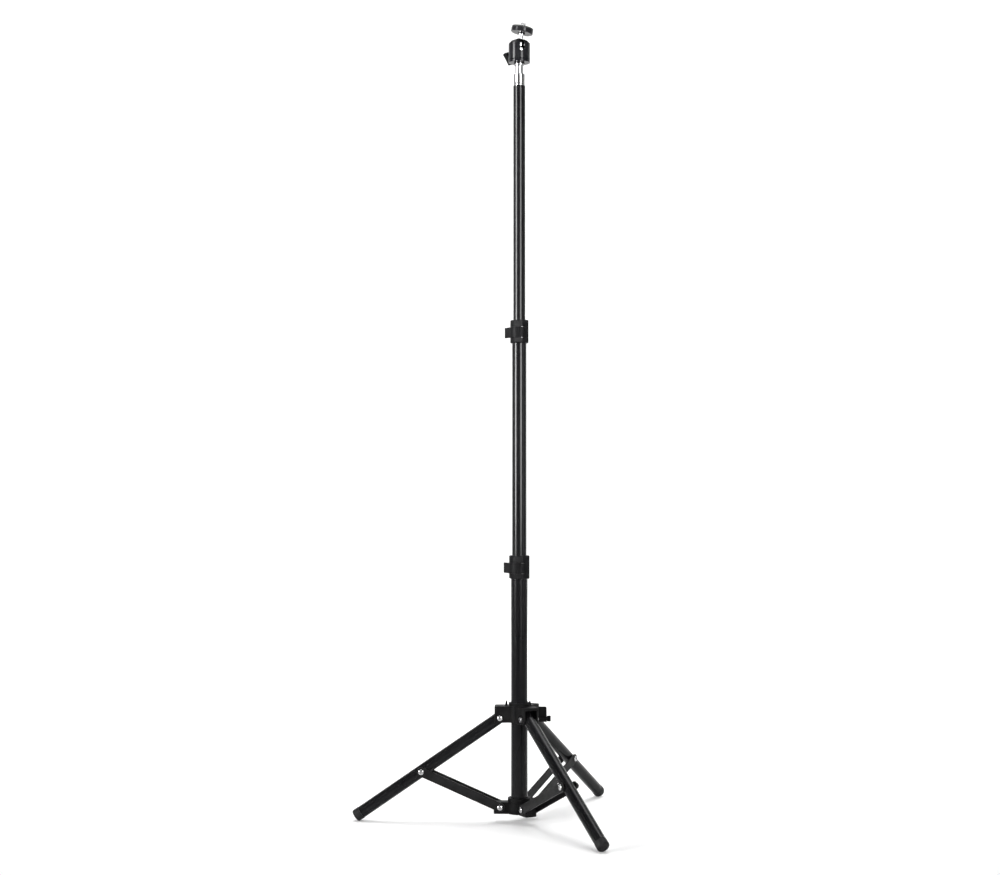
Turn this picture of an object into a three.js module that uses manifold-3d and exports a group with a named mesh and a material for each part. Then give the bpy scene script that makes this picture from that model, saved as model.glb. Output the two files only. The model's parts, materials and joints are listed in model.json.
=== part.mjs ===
// A three-section telescopic stand on a folding tripod base, with a small ball head on its top stud.
// Millimetres, +Z up. The origin is on the column's axis, at the underside of the base cap.
// The tripod is open and both column sections are drawn out; the feet stand a little below the origin.

import * as THREE from "three";
import { mergeVertices } from "three/addons/utils/BufferGeometryUtils.js";
import Module from "manifold-3d";

const wasm = await Module();
wasm.setup();

// ---------------------------------------------------------------- Driving dimensions

const GAP = 0.3; // between pieces that touch, turn or slide on each other
const PAST = 1; // how far a cutting tool runs past the face that it opens

// Column
const LOWER_TUBE_D = 22;
const TUBE_WALL = 0.9;
const TUBE_FIT = 0.6; // between a tube and the one that slides in it, on each side
const LOWER_TUBE_LENGTH = 322.5;
const MIDDLE_TUBE_LENGTH = 342;
const UPPER_TUBE_LENGTH = 365.4;
const MIDDLE_OVERLAP = 31; // what stays inside the lower tube when the middle one is drawn out
const UPPER_OVERLAP = 40; // what stays inside the middle tube when the upper one is drawn out
const CAP_FLANGE = 2.2; // thickness of the base cap below the tube
const CAP_PLUG = 7.8; // how far the base cap reaches into the tube
const GLIDE_RIM = 3; // wide end of the plug at the bottom of a sliding tube
const GLIDE_PLUG = 6;

// Flip-lever clamps at the top of the lower and middle tubes
const CLAMP_HEIGHT = 30.4;
const CLAMP_GRIP = 16.4; // depth of the clamp's socket over the tube that carries it
const CLAMP_WALL = 2.5;
const CLAMP_FACET_PROUD = 2.1; // how far the slanted front face stands outside the round body
const CLAMP_FACET_LEFT = 7.7; // reach of that face to each side of its middle
const CLAMP_FACET_RIGHT = 3.4;
const LEVER_HEIGHT = 13.6;
const LEVER_MIDDLE = 14; // height of the lever's middle above the clamp's underside
const LEVER_THICKNESS = 2.4;
const LEVER_SUNK = 1; // how far the lever's inner face lies below the body's round face
const LEVER_TAB = 16; // straight thumb tab past the curved part
const LEVER_END_ANGLE = -150; // where the lever leaves the body
const LEVER_PIN_ANGLE = -71.8;
const LEVER_PIN_D = 2.5;
const LEVER_BARREL_D = 5;
const LEVER_GAP = 0.4;
const PIN_END_WALL = 3.4; // plastic left above the pin

// Tripod linkage
const LEG_ANGLE = 55.5; // from the column, when open
const LEG_TO_STRUT = 126; // from a leg's pivot to its strut's pivot
const STRUT_LENGTH = 113.5; // between a strut's two pivots
const LEG_LENGTH = 232.5; // from its pivot to the end of its foot
const LEG_ABOVE_PIVOT = 7;
const LEG_SWING_GAP = 1; // round the leg's upper end as it turns in its slot
const LEG_TUBE_D = 16;
const LEG_WALL = 1;
const FOOT_LENGTH = 10;
const FOOT_PLUG = 12;
const FOOT_PROUD = 0.2;
const FOOT_ROUND = 2.5;
const STRUT_WIDTH = 12;
const STRUT_THICKNESS = 2;
const STRUT_SIDE_GAP = 0.6; // between the leg's side and the strut bars

// Upper collar, which slides on the lower tube
const UPPER_PIN_HEIGHT = 6.2;
const UPPER_ROOF = 3.6; // plastic over the leg slots
const UPPER_CHEEK = 3.5;
const UPPER_LUG_PAST_PIN = 7.5;
const UPPER_NECK_HEIGHT = 4.2;
const LEG_SLOT_GAP = 0.4;
const HUB_WALL = 4.7;
const SLOT_FLOOR_WALL = 2.1; // plastic between a leg slot and the bore
const NECK_WALL = 2.7;
const LUG_ROUND = 2.5;
const NUT_RECESS_D = 11.4;
const NUT_RECESS_DEPTH = 2.5;
const POST_HEIGHT = 6.5;
const POST_WIDTH = 4;
const POST_TIP = 1.4;
const LEFT_POST_OUT = 6; // posts' distances from the tube's side
const RIGHT_POST_OUT = 3;

// Lock screw in a rib of the upper collar
const LOCK_RIB_REACH = 25.2; // from the tube's side
const LOCK_RIB_WIDTH = 5;
const LOCK_RIB_DROP = 1.3; // below the collar's top
const LOCK_RIB_ROUND = 2;
const LOCK_BOSS_D = 8.8;
const LOCK_SCREW_D = 5;
const LOCK_HEAD_D = 8;
const LOCK_HEAD_LENGTH = 5.1;
const LOCK_HEAD_ROUND = 1.4;

// Lower collar, fixed to the bottom of the lower tube
const LOWER_COLLAR_HEIGHT = 15.3;
const LOWER_PIN_HEIGHT = 8.9;
const LOWER_LUG_PAST_PIN = 8.5;
const LOWER_NECK_HEIGHT = 5.3;
const LOWER_NECK_WALL = 3.9;
const SET_SCREW_D = 5;
const SET_SCREW_HEIGHT = 7.6;

// Screws and nuts of the linkage
const SCREW_D = 4;
const SCREW_HEAD_D = 7.6;
const SCREW_HEAD_HEIGHT = 2.4;
const SCREW_HEAD_SEAT = 0.2; // gap under a head
const NUT_FLATS = 7;
const NUT_HEIGHT = 3.4;
const NUT_SIDES = 6;
const SCREW_TIP = 0.7; // what shows past a nut

// Ball head and the stud that carries it
const STUD_PLUG = 25; // inside the upper tube
const STUD_FOOT_D = 14.8;
const STUD_FOOT_HEIGHT = 15.4;
const STUD_GROOVE_HEIGHT = 2.8; // groove above the tube's end
const STUD_GROOVE = 0.5;
const STUD_NECK_D = 10.4;
const STUD_NECK_HEIGHT = 11.5;
const STUD_HEAD_D = 14;
const STUD_HEAD_HEIGHT = 3.6;
const STUD_THREAD_D = 6;
const STUD_THREAD_LENGTH = 4.5;
const HEAD_WALL = 4.1;
const HEAD_BASE_HEIGHT = 3.6;
const HEAD_BASE_SPIGOT = 1.9;
const HEAD_CHAMFER_IN = 3.1;
const HEAD_CHAMFER_UP = 3.2;
const HEAD_RIM_UP = 1.4;
const HEAD_RIM_WIDTH = 0.9; // sloping lip outside the seat's edge
const BALL_D = 18;
const BALL_BELOW_SHOULDER = 1.8; // ball's centre under the top of the straight side
const SEAT_RISE = 5.5; // height of the seat's edge above the ball's centre
const HEAD_BORE_GAP = 1.2; // between the ball and the straight bore under it
const STEM_D = 5.8;
const STEM_FLANGE_D = 9;
const STEM_FLANGE_HEIGHT = 2.1;
const HEAD_TILT = 11; // lean of the stem towards +X
const NOTCH_ANGLE = -72;
const NOTCH_WIDTH = 6.6;
const NOTCH_DEPTH = 12.1; // below the top of the straight side
const PLATFORM_D = 29.4;
const PLATFORM_BELOW = 16.2; // from the ball's centre to the platform's underside
const PLATFORM_HEIGHT = 5.5;
const PLATFORM_CHAMFER = 0.8;
const PAD_D = 28.6;
const PAD_HEIGHT = 1.8;
const CAMERA_SCREW_D = 6.2;
const CAMERA_SCREW_LENGTH = 6;
const CAMERA_SCREW_ROOT = 4;
const CUP_FLOOR = 2.3;
const CUP_RIM_DROP = 5.6; // cup's rim below the ball's centre
const CUP_ABOVE_SCREW = 0.9;
const KNOB_ANGLE = 138;
const KNOB_HEIGHT = 8.8; // knob's axis above the head's underside
const KNOB_SCREW_D = 5;
const KNOB_SCREW_TIP = 2; // how near the screw comes to the column's axis
const KNOB_HUB_D = 11;
const KNOB_HUB_LENGTH = 2.4;
const KNOB_GRIP_LENGTH = 17;
const KNOB_GRIP_WIDTH = 6;
const KNOB_GRIP_HEIGHT = 6.6; // grip's thickness beyond the hub
const KNOB_TURN = -40;

// Fineness of round faces
const COLUMN_SIDES = 32;
const LEG_SIDES = 24;
const SCREW_SIDES = 12;
const HOLE_SIDES = 12;
const ARC_STEPS = 4;

// ---------------------------------------------------------------- Materials

const blackGloss = { color: 0x0b0b0c, roughness: 0.22, metalness: 0.6 };
const blackPlastic = { color: 0x1a1a1b, roughness: 0.55, metalness: 0 };
const blackRubber = { color: 0x141414, roughness: 0.85, metalness: 0 };
const blackSteel = { color: 0x202020, roughness: 0.45, metalness: 0.5 };
const chrome = { color: 0xd8d8d8, roughness: 0.12, metalness: 1 };
const steel = { color: 0x9a9a9a, roughness: 0.35, metalness: 1 };

// ---------------------------------------------------------------- Geometry helpers

const radians = THREE.MathUtils.degToRad;

function toSolid(geometry) {
  const bare = geometry.clone();
  bare.deleteAttribute("normal");
  bare.deleteAttribute("uv");
  const merged = mergeVertices(bare, 1e-4);
  const mesh = new wasm.Mesh({
    numProp: 3,
    vertProperties: merged.attributes.position.array,
    triVerts: new Uint32Array(merged.index.array),
  });
  return new wasm.Manifold(mesh);
}

function toGeometry(solid) {
  const mesh = solid.getMesh();
  const geometry = new THREE.BufferGeometry();
  geometry.setAttribute("position", new THREE.BufferAttribute(mesh.vertProperties, 3));
  geometry.setIndex(new THREE.BufferAttribute(mesh.triVerts, 1));
  geometry.computeVertexNormals();
  return geometry;
}

function joined(...geometries) {
  const solids = geometries.map(toSolid);
  return toGeometry(solids.reduce((whole, piece) => whole.add(piece)));
}

function cut(geometry, ...tools) {
  const body = toSolid(geometry);
  return toGeometry(tools.map(toSolid).reduce((left, tool) => left.subtract(tool), body));
}

// A solid of revolution about Z from [radius, height] pairs that run up the outside.
function turned(profile, sides) {
  const points = profile.map(([radius, height]) => new THREE.Vector2(radius, height));
  return new THREE.LatheGeometry(points, sides).rotateX(Math.PI / 2);
}

function rod(radius, bottom, top, sides = SCREW_SIDES) {
  return turned([[0, bottom], [radius, bottom], [radius, top], [0, top]], sides);
}

function ring(outer, inner, bottom, top, sides = COLUMN_SIDES) {
  return turned([[inner, bottom], [outer, bottom], [outer, top], [inner, top], [inner, bottom]], sides);
}

function box(xs, ys, zs) {
  const size = [xs, ys, zs].map(([low, high]) => high - low);
  const middle = [xs, ys, zs].map(([low, high]) => (high + low) / 2);
  return new THREE.BoxGeometry(...size).translate(...middle);
}

// A plan outline carried up from one height to another.
function raised(shape, bottom, top) {
  const settings = { depth: top - bottom, bevelEnabled: false, curveSegments: ARC_STEPS };
  return new THREE.ExtrudeGeometry(shape, settings).translate(0, 0, bottom);
}

// Points on an arc about an axis point, for lathe profiles, angles in degrees.
function arcPoints(centreR, centreZ, radius, from, to, steps) {
  return Array.from({ length: steps + 1 }, (_, i) => {
    const angle = radians(from + ((to - from) * i) / steps);
    return [centreR + radius * Math.cos(angle), centreZ + radius * Math.sin(angle)];
  });
}

// The direction of a piece made along +Z is laid along +Y (side 1) or -Y (side -1).
function laidAcross(geometry, side) {
  return geometry.rotateX((-side * Math.PI) / 2);
}

const part = new THREE.Group();

function addPiece(name, geometry, look, holder = part) {
  const mesh = new THREE.Mesh(geometry, new THREE.MeshStandardMaterial(look));
  mesh.name = name;
  holder.add(mesh);
}

// ---------------------------------------------------------------- Heights along the column

const lowerTubeBottom = CAP_FLANGE + GAP;
const lowerTubeTop = lowerTubeBottom + LOWER_TUBE_LENGTH;
const middleTubeBottom = lowerTubeTop - MIDDLE_OVERLAP;
const middleTubeTop = middleTubeBottom + MIDDLE_TUBE_LENGTH;
const upperTubeBottom = middleTubeTop - UPPER_OVERLAP;
const upperTubeTop = upperTubeBottom + UPPER_TUBE_LENGTH;
const tubeBore = (diameter) => diameter / 2 - TUBE_WALL;
const middleTubeD = 2 * (tubeBore(LOWER_TUBE_D) - TUBE_FIT);
const upperTubeD = 2 * (tubeBore(middleTubeD) - TUBE_FIT);

const collarBoreR = LOWER_TUBE_D / 2 + GAP;
const hubR = collarBoreR + HUB_WALL;
const slotFloor = collarBoreR + SLOT_FLOOR_WALL;
const legSwing = Math.hypot(LEG_ABOVE_PIVOT, LEG_TUBE_D / 2) + LEG_SWING_GAP;
const pivotRadius = slotFloor + legSwing;
const legAngle = radians(LEG_ANGLE);
const strutOut = LEG_TO_STRUT * Math.sin(legAngle);
const strutUp = Math.sqrt(STRUT_LENGTH ** 2 - strutOut ** 2);
const strutAngle = Math.atan2(strutOut, strutUp);
const upperPinZ = LOWER_PIN_HEIGHT + LEG_TO_STRUT * Math.cos(legAngle) + strutUp;
const upperCollarBottom = upperPinZ - UPPER_PIN_HEIGHT;
const slotTop = UPPER_PIN_HEIGHT + legSwing;
const upperCollarHeight = slotTop + UPPER_ROOF;
const postTop = upperCollarHeight + POST_HEIGHT;

// ---------------------------------------------------------------- Column tubes

function columnTube(name, diameter, bottom, top) {
  addPiece(name, ring(diameter / 2, tubeBore(diameter), bottom, top), blackGloss);
}

columnTube("lower_tube", LOWER_TUBE_D, lowerTubeBottom, lowerTubeTop);
columnTube("middle_tube", middleTubeD, middleTubeBottom, middleTubeTop);
columnTube("upper_tube", upperTubeD, upperTubeBottom, upperTubeTop);

// The base cap closes the lower tube from below, inside the lower collar's bore.
const capPlugR = tubeBore(LOWER_TUBE_D) - GAP;
const capTop = CAP_FLANGE + CAP_PLUG;
const capR = LOWER_TUBE_D / 2;
const capPlug = [[capPlugR, CAP_FLANGE], [capPlugR, capTop], [0, capTop]];
const capProfile = [[0, 0], [capR, 0], [capR, CAP_FLANGE], ...capPlug];
addPiece("base_cap", turned(capProfile, COLUMN_SIDES), blackPlastic);

// A glide plugs the bottom of a sliding tube, and its rim runs in the tube outside.
function glide(name, tubeD, outsideD, tubeBottom) {
  const rimR = tubeBore(outsideD) - GAP;
  const plugR = tubeBore(tubeD) - GAP;
  const bottom = tubeBottom - GAP - GLIDE_RIM;
  const rimTop = tubeBottom - GAP;
  const top = tubeBottom + GLIDE_PLUG;
  const profile = [[0, bottom], [rimR, bottom], [rimR, rimTop], [plugR, rimTop], [plugR, top], [0, top]];
  addPiece(name, turned(profile, COLUMN_SIDES), blackPlastic);
}

glide("middle_tube_glide", middleTubeD, LOWER_TUBE_D, middleTubeBottom);
glide("upper_tube_glide", upperTubeD, middleTubeD, upperTubeBottom);

// ---------------------------------------------------------------- Flip-lever clamps

// Plan of a clamp body: round behind, with one slanted flat face at the front right.
function clampOutline(bodyR) {
  const faceDistance = bodyR + CLAMP_FACET_PROUD;
  const facePoint = (along) =>
    new THREE.Vector2(faceDistance + along, -faceDistance + along).multiplyScalar(Math.SQRT1_2);
  const left = facePoint(-CLAMP_FACET_LEFT);
  const right = facePoint(CLAMP_FACET_RIGHT);
  const startAngle = right.angle() + Math.acos(bodyR / right.length());
  const endAngle = left.angle() - Math.acos(bodyR / left.length());
  const arcSteps = COLUMN_SIDES;
  const points = Array.from({ length: arcSteps + 1 }, (_, i) => {
    const angle = startAngle - 2 * Math.PI + ((endAngle - startAngle + 2 * Math.PI) * i) / arcSteps;
    return new THREE.Vector2(bodyR * Math.cos(angle), bodyR * Math.sin(angle));
  });
  return new THREE.Shape([...points, left, right]);
}

// Plan of the lever: a curved plate that follows the body and leaves it in a straight tab.
function leverOutline(inner, outer) {
  const endAngle = radians(LEVER_END_ANGLE);
  const pinAngle = radians(LEVER_PIN_ANGLE);
  const along = new THREE.Vector2(Math.sin(endAngle), -Math.cos(endAngle)).multiplyScalar(LEVER_TAB);
  const steps = 2 * ARC_STEPS;
  const arc = (radius) =>
    Array.from({ length: steps + 1 }, (_, i) => {
      const angle = pinAngle + ((endAngle - pinAngle) * i) / steps;
      return new THREE.Vector2(radius * Math.cos(angle), radius * Math.sin(angle));
    });
  const outside = arc(outer);
  const inside = arc(inner);
  const tabOut = outside[steps].clone().add(along);
  const tabIn = inside[steps].clone().add(along);
  return new THREE.Shape([...outside, tabOut, tabIn, ...inside.reverse()].reverse());
}

function clamp(prefix, outsideD, insideD, tubeTop) {
  const bottom = tubeTop - CLAMP_GRIP;
  const top = bottom + CLAMP_HEIGHT;
  const bodyR = outsideD / 2 + CLAMP_WALL;
  const leverIn = bodyR - LEVER_SUNK;
  const leverOut = leverIn + LEVER_THICKNESS;
  const leverLow = bottom + LEVER_MIDDLE - LEVER_HEIGHT / 2;
  const leverHigh = leverLow + LEVER_HEIGHT;
  const barrelR = LEVER_BARREL_D / 2;
  const pinR = LEVER_PIN_D / 2;
  const pinDistance = leverIn + barrelR;
  const pinX = pinDistance * Math.cos(radians(LEVER_PIN_ANGLE));
  const pinY = pinDistance * Math.sin(radians(LEVER_PIN_ANGLE));
  const pinLow = bottom + GAP;
  const pinHigh = top - PIN_END_WALL;
  const atPin = (geometry) => geometry.translate(pinX, pinY, 0);

  const windowLow = leverLow - LEVER_GAP;
  const windowHigh = leverHigh + LEVER_GAP;
  const windowPlan = leverOutline(leverIn - LEVER_GAP, leverOut + CLAMP_WALL + CLAMP_FACET_PROUD);
  const body = cut(
    raised(clampOutline(bodyR), bottom, top),
    rod(outsideD / 2 + GAP, bottom - PAST, tubeTop + GAP, COLUMN_SIDES),
    rod(insideD / 2 + GAP, bottom, top + PAST, COLUMN_SIDES),
    raised(windowPlan, windowLow, windowHigh),
    atPin(rod(barrelR + LEVER_GAP, windowLow, windowHigh, COLUMN_SIDES)),
    atPin(rod(pinR + GAP, bottom - PAST, pinHigh + GAP, HOLE_SIDES)),
  );
  addPiece(prefix + "_clamp_body", body, blackPlastic);

  const plate = raised(leverOutline(leverIn, leverOut), leverLow, leverHigh);
  const barrel = atPin(rod(barrelR, leverLow, leverHigh, COLUMN_SIDES));
  const hole = atPin(rod(pinR + GAP, leverLow - PAST, leverHigh + PAST, HOLE_SIDES));
  addPiece(prefix + "_clamp_lever", cut(joined(plate, barrel), hole), blackPlastic);

  addPiece(prefix + "_clamp_pin", atPin(rod(pinR, pinLow, pinHigh)), steel);
}

clamp("lower", LOWER_TUBE_D, middleTubeD, lowerTubeTop);
clamp("upper", middleTubeD, upperTubeD, middleTubeTop);

// ---------------------------------------------------------------- Screws and nuts of the linkage

// A domed screw whose head's underside is at height 0 and whose shank runs down.
function domedScrew(shankLength) {
  const headR = SCREW_HEAD_D / 2;
  const shankR = SCREW_D / 2;
  const edge = SCREW_HEAD_HEIGHT / 3;
  const dome = SCREW_HEAD_HEIGHT - edge;
  const crown = Array.from({ length: ARC_STEPS }, (_, i) => {
    const angle = radians((90 * i) / ARC_STEPS);
    return [headR * Math.cos(angle), edge + dome * Math.sin(angle)];
  });
  const shank = [[0, -shankLength], [shankR, -shankLength], [shankR, 0], [headR, 0]];
  return turned([...shank, ...crown, [0, SCREW_HEAD_HEIGHT]], SCREW_SIDES);
}

function hexNut(height) {
  const cornerR = NUT_FLATS / 2 / Math.cos(Math.PI / NUT_SIDES);
  return rod(cornerR, 0, height, NUT_SIDES);
}

// ---------------------------------------------------------------- Tripod collars

const slotHalf = LEG_TUBE_D / 2 + LEG_SLOT_GAP;
const upperLugHalf = slotHalf + UPPER_CHEEK;
const barInner = LEG_TUBE_D / 2 + STRUT_SIDE_GAP;
const barOuter = barInner + STRUT_THICKNESS;
const lowerLugHalf = barInner - GAP;
const holeR = SCREW_D / 2 + GAP;

const legs = [
  { side: "left", azimuth: 180, strutHeads: 1 },
  { side: "front", azimuth: -60, strutHeads: -1 },
  { side: "back", azimuth: 60, strutHeads: -1 },
];

// The same shape at each leg, turned into place.
function atEachLeg(makeShape) {
  return legs.map(({ azimuth }) => makeShape().rotateZ(radians(azimuth)));
}

// Plan of a lug that runs out along +X, with rounded outer corners.
function lugOutline(reach, half) {
  const shape = new THREE.Shape();
  const inner = reach - LUG_ROUND;
  shape.moveTo(0, -half);
  shape.lineTo(inner, -half);
  shape.absarc(inner, LUG_ROUND - half, LUG_ROUND, -Math.PI / 2, 0, false);
  shape.absarc(inner, half - LUG_ROUND, LUG_ROUND, 0, Math.PI / 2, false);
  shape.lineTo(0, half);
  return shape;
}

// A hub with a lug for each leg, from height 0.
function spider(height, reach, half) {
  const lugs = atEachLeg(() => raised(lugOutline(reach, half), 0, height));
  return joined(rod(hubR, 0, height, COLUMN_SIDES), ...lugs);
}

const crossHole = (half, height) =>
  laidAcross(rod(holeR, -half - PAST, half + PAST, HOLE_SIDES), 1).translate(pivotRadius, 0, height);

function taperedPost(radius, bottom, top) {
  const shape = new THREE.Shape();
  shape.moveTo(-POST_WIDTH / 2, 0);
  shape.lineTo(POST_WIDTH / 2, 0);
  shape.lineTo(POST_TIP / 2, top - bottom);
  shape.lineTo(-POST_TIP / 2, top - bottom);
  const post = raised(shape, -POST_WIDTH / 2, POST_WIDTH / 2).rotateX(Math.PI / 2);
  return post.translate(radius, 0, bottom);
}

// The rib's side view, with its upper outer corner rounded.
const lockRibEnd = LOWER_TUBE_D / 2 + LOCK_RIB_REACH;
const lockRibTop = upperCollarHeight - LOCK_RIB_DROP;
function lockRib() {
  const shape = new THREE.Shape();
  const inner = lockRibEnd - LOCK_RIB_ROUND;
  const shoulder = lockRibTop - LOCK_RIB_ROUND;
  shape.moveTo(collarBoreR, 0);
  shape.lineTo(lockRibEnd, 0);
  shape.absarc(inner, shoulder, LOCK_RIB_ROUND, 0, Math.PI / 2, false);
  shape.lineTo(collarBoreR, lockRibTop);
  return raised(shape, -LOCK_RIB_WIDTH / 2, LOCK_RIB_WIDTH / 2).rotateX(Math.PI / 2);
}

// A round bar along +X at the lock screw's height.
const lockHeight = LOCK_BOSS_D / 2;
const alongLock = (geometry) => geometry.rotateY(Math.PI / 2).translate(0, 0, lockHeight);

const upperCollar = cut(
  joined(
    spider(upperCollarHeight, pivotRadius + UPPER_LUG_PAST_PIN, upperLugHalf),
    rod(collarBoreR + NECK_WALL, 0, upperCollarHeight + UPPER_NECK_HEIGHT, COLUMN_SIDES),
    lockRib(),
    alongLock(rod(LOCK_BOSS_D / 2, collarBoreR, lockRibEnd, SCREW_SIDES)),
    taperedPost(-LOWER_TUBE_D / 2 - LEFT_POST_OUT, upperCollarHeight - PAST, postTop),
    taperedPost(LOWER_TUBE_D / 2 + RIGHT_POST_OUT, lockRibTop - PAST, postTop),
  ),
  rod(collarBoreR, -PAST, postTop + PAST, COLUMN_SIDES),
  ...atEachLeg(() =>
    box(
      [slotFloor, pivotRadius + UPPER_LUG_PAST_PIN + PAST],
      [-slotHalf, slotHalf],
      [-PAST, slotTop],
    ),
  ),
  ...atEachLeg(() => crossHole(upperLugHalf, UPPER_PIN_HEIGHT)),
  ...atEachLeg(() =>
    laidAcross(rod(NUT_RECESS_D / 2, upperLugHalf - NUT_RECESS_DEPTH, upperLugHalf + PAST, COLUMN_SIDES), -1)
      .translate(pivotRadius, 0, UPPER_PIN_HEIGHT),
  ),
  alongLock(rod(LOCK_SCREW_D / 2 + GAP, 0, lockRibEnd + PAST, HOLE_SIDES)),
);
addPiece("upper_collar", upperCollar.translate(0, 0, upperCollarBottom), blackPlastic);

const lockHeadStart = lockRibEnd + GAP;
const lockHeadEnd = lockHeadStart + LOCK_HEAD_LENGTH;
const lockHeadR = LOCK_HEAD_D / 2;
const lockScrewR = LOCK_SCREW_D / 2;
const lockRoundR = lockHeadR - LOCK_HEAD_ROUND;
const lockScrew = turned(
  [
    [0, LOWER_TUBE_D / 2 + GAP],
    [lockScrewR, LOWER_TUBE_D / 2 + GAP],
    [lockScrewR, lockHeadStart],
    [lockHeadR, lockHeadStart],
    ...arcPoints(lockRoundR, lockHeadEnd - LOCK_HEAD_ROUND, LOCK_HEAD_ROUND, 0, 90, ARC_STEPS),
    [0, lockHeadEnd],
  ],
  SCREW_SIDES,
);
addPiece("collar_lock_screw", alongLock(lockScrew).translate(0, 0, upperCollarBottom), blackPlastic);

const alongSetScrew = (geometry) => geometry.rotateY(Math.PI / 2).translate(0, 0, SET_SCREW_HEIGHT);
const lowerCollar = cut(
  joined(
    spider(LOWER_COLLAR_HEIGHT, pivotRadius + LOWER_LUG_PAST_PIN, lowerLugHalf),
    rod(collarBoreR + LOWER_NECK_WALL, 0, LOWER_COLLAR_HEIGHT + LOWER_NECK_HEIGHT, COLUMN_SIDES),
  ),
  rod(collarBoreR, -PAST, LOWER_COLLAR_HEIGHT + LOWER_NECK_HEIGHT + PAST, COLUMN_SIDES),
  ...atEachLeg(() => crossHole(lowerLugHalf, LOWER_PIN_HEIGHT)),
  alongSetScrew(rod(SET_SCREW_D / 2 + GAP, 0, hubR + PAST, HOLE_SIDES)),
);
addPiece("lower_collar", lowerCollar, blackPlastic);

const setScrew = rod(SET_SCREW_D / 2, LOWER_TUBE_D / 2 + GAP, hubR - GAP);
addPiece("lower_collar_set_screw", alongSetScrew(setScrew), steel);

// ---------------------------------------------------------------- Legs and struts

// A frame at a leg's azimuth: +X runs out from the column and +Y across the leg.
function legFrame(azimuth, height, tilt) {
  const turn = new THREE.Group();
  turn.rotation.z = radians(azimuth);
  const frame = new THREE.Group();
  frame.position.set(pivotRadius, 0, height);
  frame.rotation.y = tilt;
  turn.add(frame);
  part.add(turn);
  return frame;
}

// Flat bar with round ends and a hole at each end, its length along +Z and its thickness along Y.
function strutBar(side) {
  const half = STRUT_WIDTH / 2;
  const shape = new THREE.Shape();
  shape.absarc(0, 0, half, Math.PI, 2 * Math.PI, false);
  shape.absarc(0, STRUT_LENGTH, half, 0, Math.PI, false);
  const bar = raised(shape, 0, STRUT_THICKNESS).rotateX(Math.PI / 2);
  bar.translate(0, side > 0 ? barOuter : -barInner, 0);
  const holes = [0, STRUT_LENGTH].map((along) =>
    laidAcross(rod(holeR, barInner - PAST, barOuter + PAST, HOLE_SIDES), side).translate(0, 0, along),
  );
  return cut(bar, ...holes);
}

function legTube() {
  const radius = LEG_TUBE_D / 2;
  const tube = ring(radius, radius - LEG_WALL, -LEG_ABOVE_PIVOT, LEG_LENGTH - FOOT_LENGTH, LEG_SIDES);
  const holes = [0, LEG_TO_STRUT].map((along) =>
    laidAcross(rod(holeR, -radius - PAST, radius + PAST, HOLE_SIDES), 1).translate(0, 0, along),
  );
  return cut(tube, ...holes);
}

function footCap() {
  const radius = LEG_TUBE_D / 2 + FOOT_PROUD;
  const plugR = LEG_TUBE_D / 2 - LEG_WALL - GAP;
  const tubeEnd = LEG_LENGTH - FOOT_LENGTH;
  const rounding = arcPoints(radius - FOOT_ROUND, LEG_LENGTH - FOOT_ROUND, FOOT_ROUND, 0, 90, ARC_STEPS);
  const plug = [[0, tubeEnd - FOOT_PLUG], [plugR, tubeEnd - FOOT_PLUG], [plugR, tubeEnd + GAP]];
  return turned([...plug, [radius, tubeEnd + GAP], ...rounding, [0, LEG_LENGTH]], LEG_SIDES);
}

const strutHeadSeat = barOuter + SCREW_HEAD_SEAT;
const strutNutSeat = barOuter + GAP;

// The pivot between a strut and its leg shows a screw head outside one bar and a nut outside the other.
// Each has its own short shank, which stays clear of the leg.
function strutPinHead(side) {
  const shank = strutHeadSeat - barInner;
  return laidAcross(domedScrew(shank).translate(0, 0, strutHeadSeat), side).translate(0, 0, STRUT_LENGTH);
}

function strutPinNut(side) {
  const nut = hexNut(NUT_HEIGHT).translate(0, 0, strutNutSeat);
  const shank = rod(SCREW_D / 2, barInner, strutNutSeat + NUT_HEIGHT + SCREW_TIP);
  return laidAcross(joined(nut, shank), side).translate(0, 0, STRUT_LENGTH);
}

// A nut with a through hole, its inner face at the given distance from the middle.
const boredNut = (seat, height) => {
  const hole = rod(holeR, seat - PAST, seat + height + PAST, HOLE_SIDES);
  return cut(hexNut(height).translate(0, 0, seat), hole);
};

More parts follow.
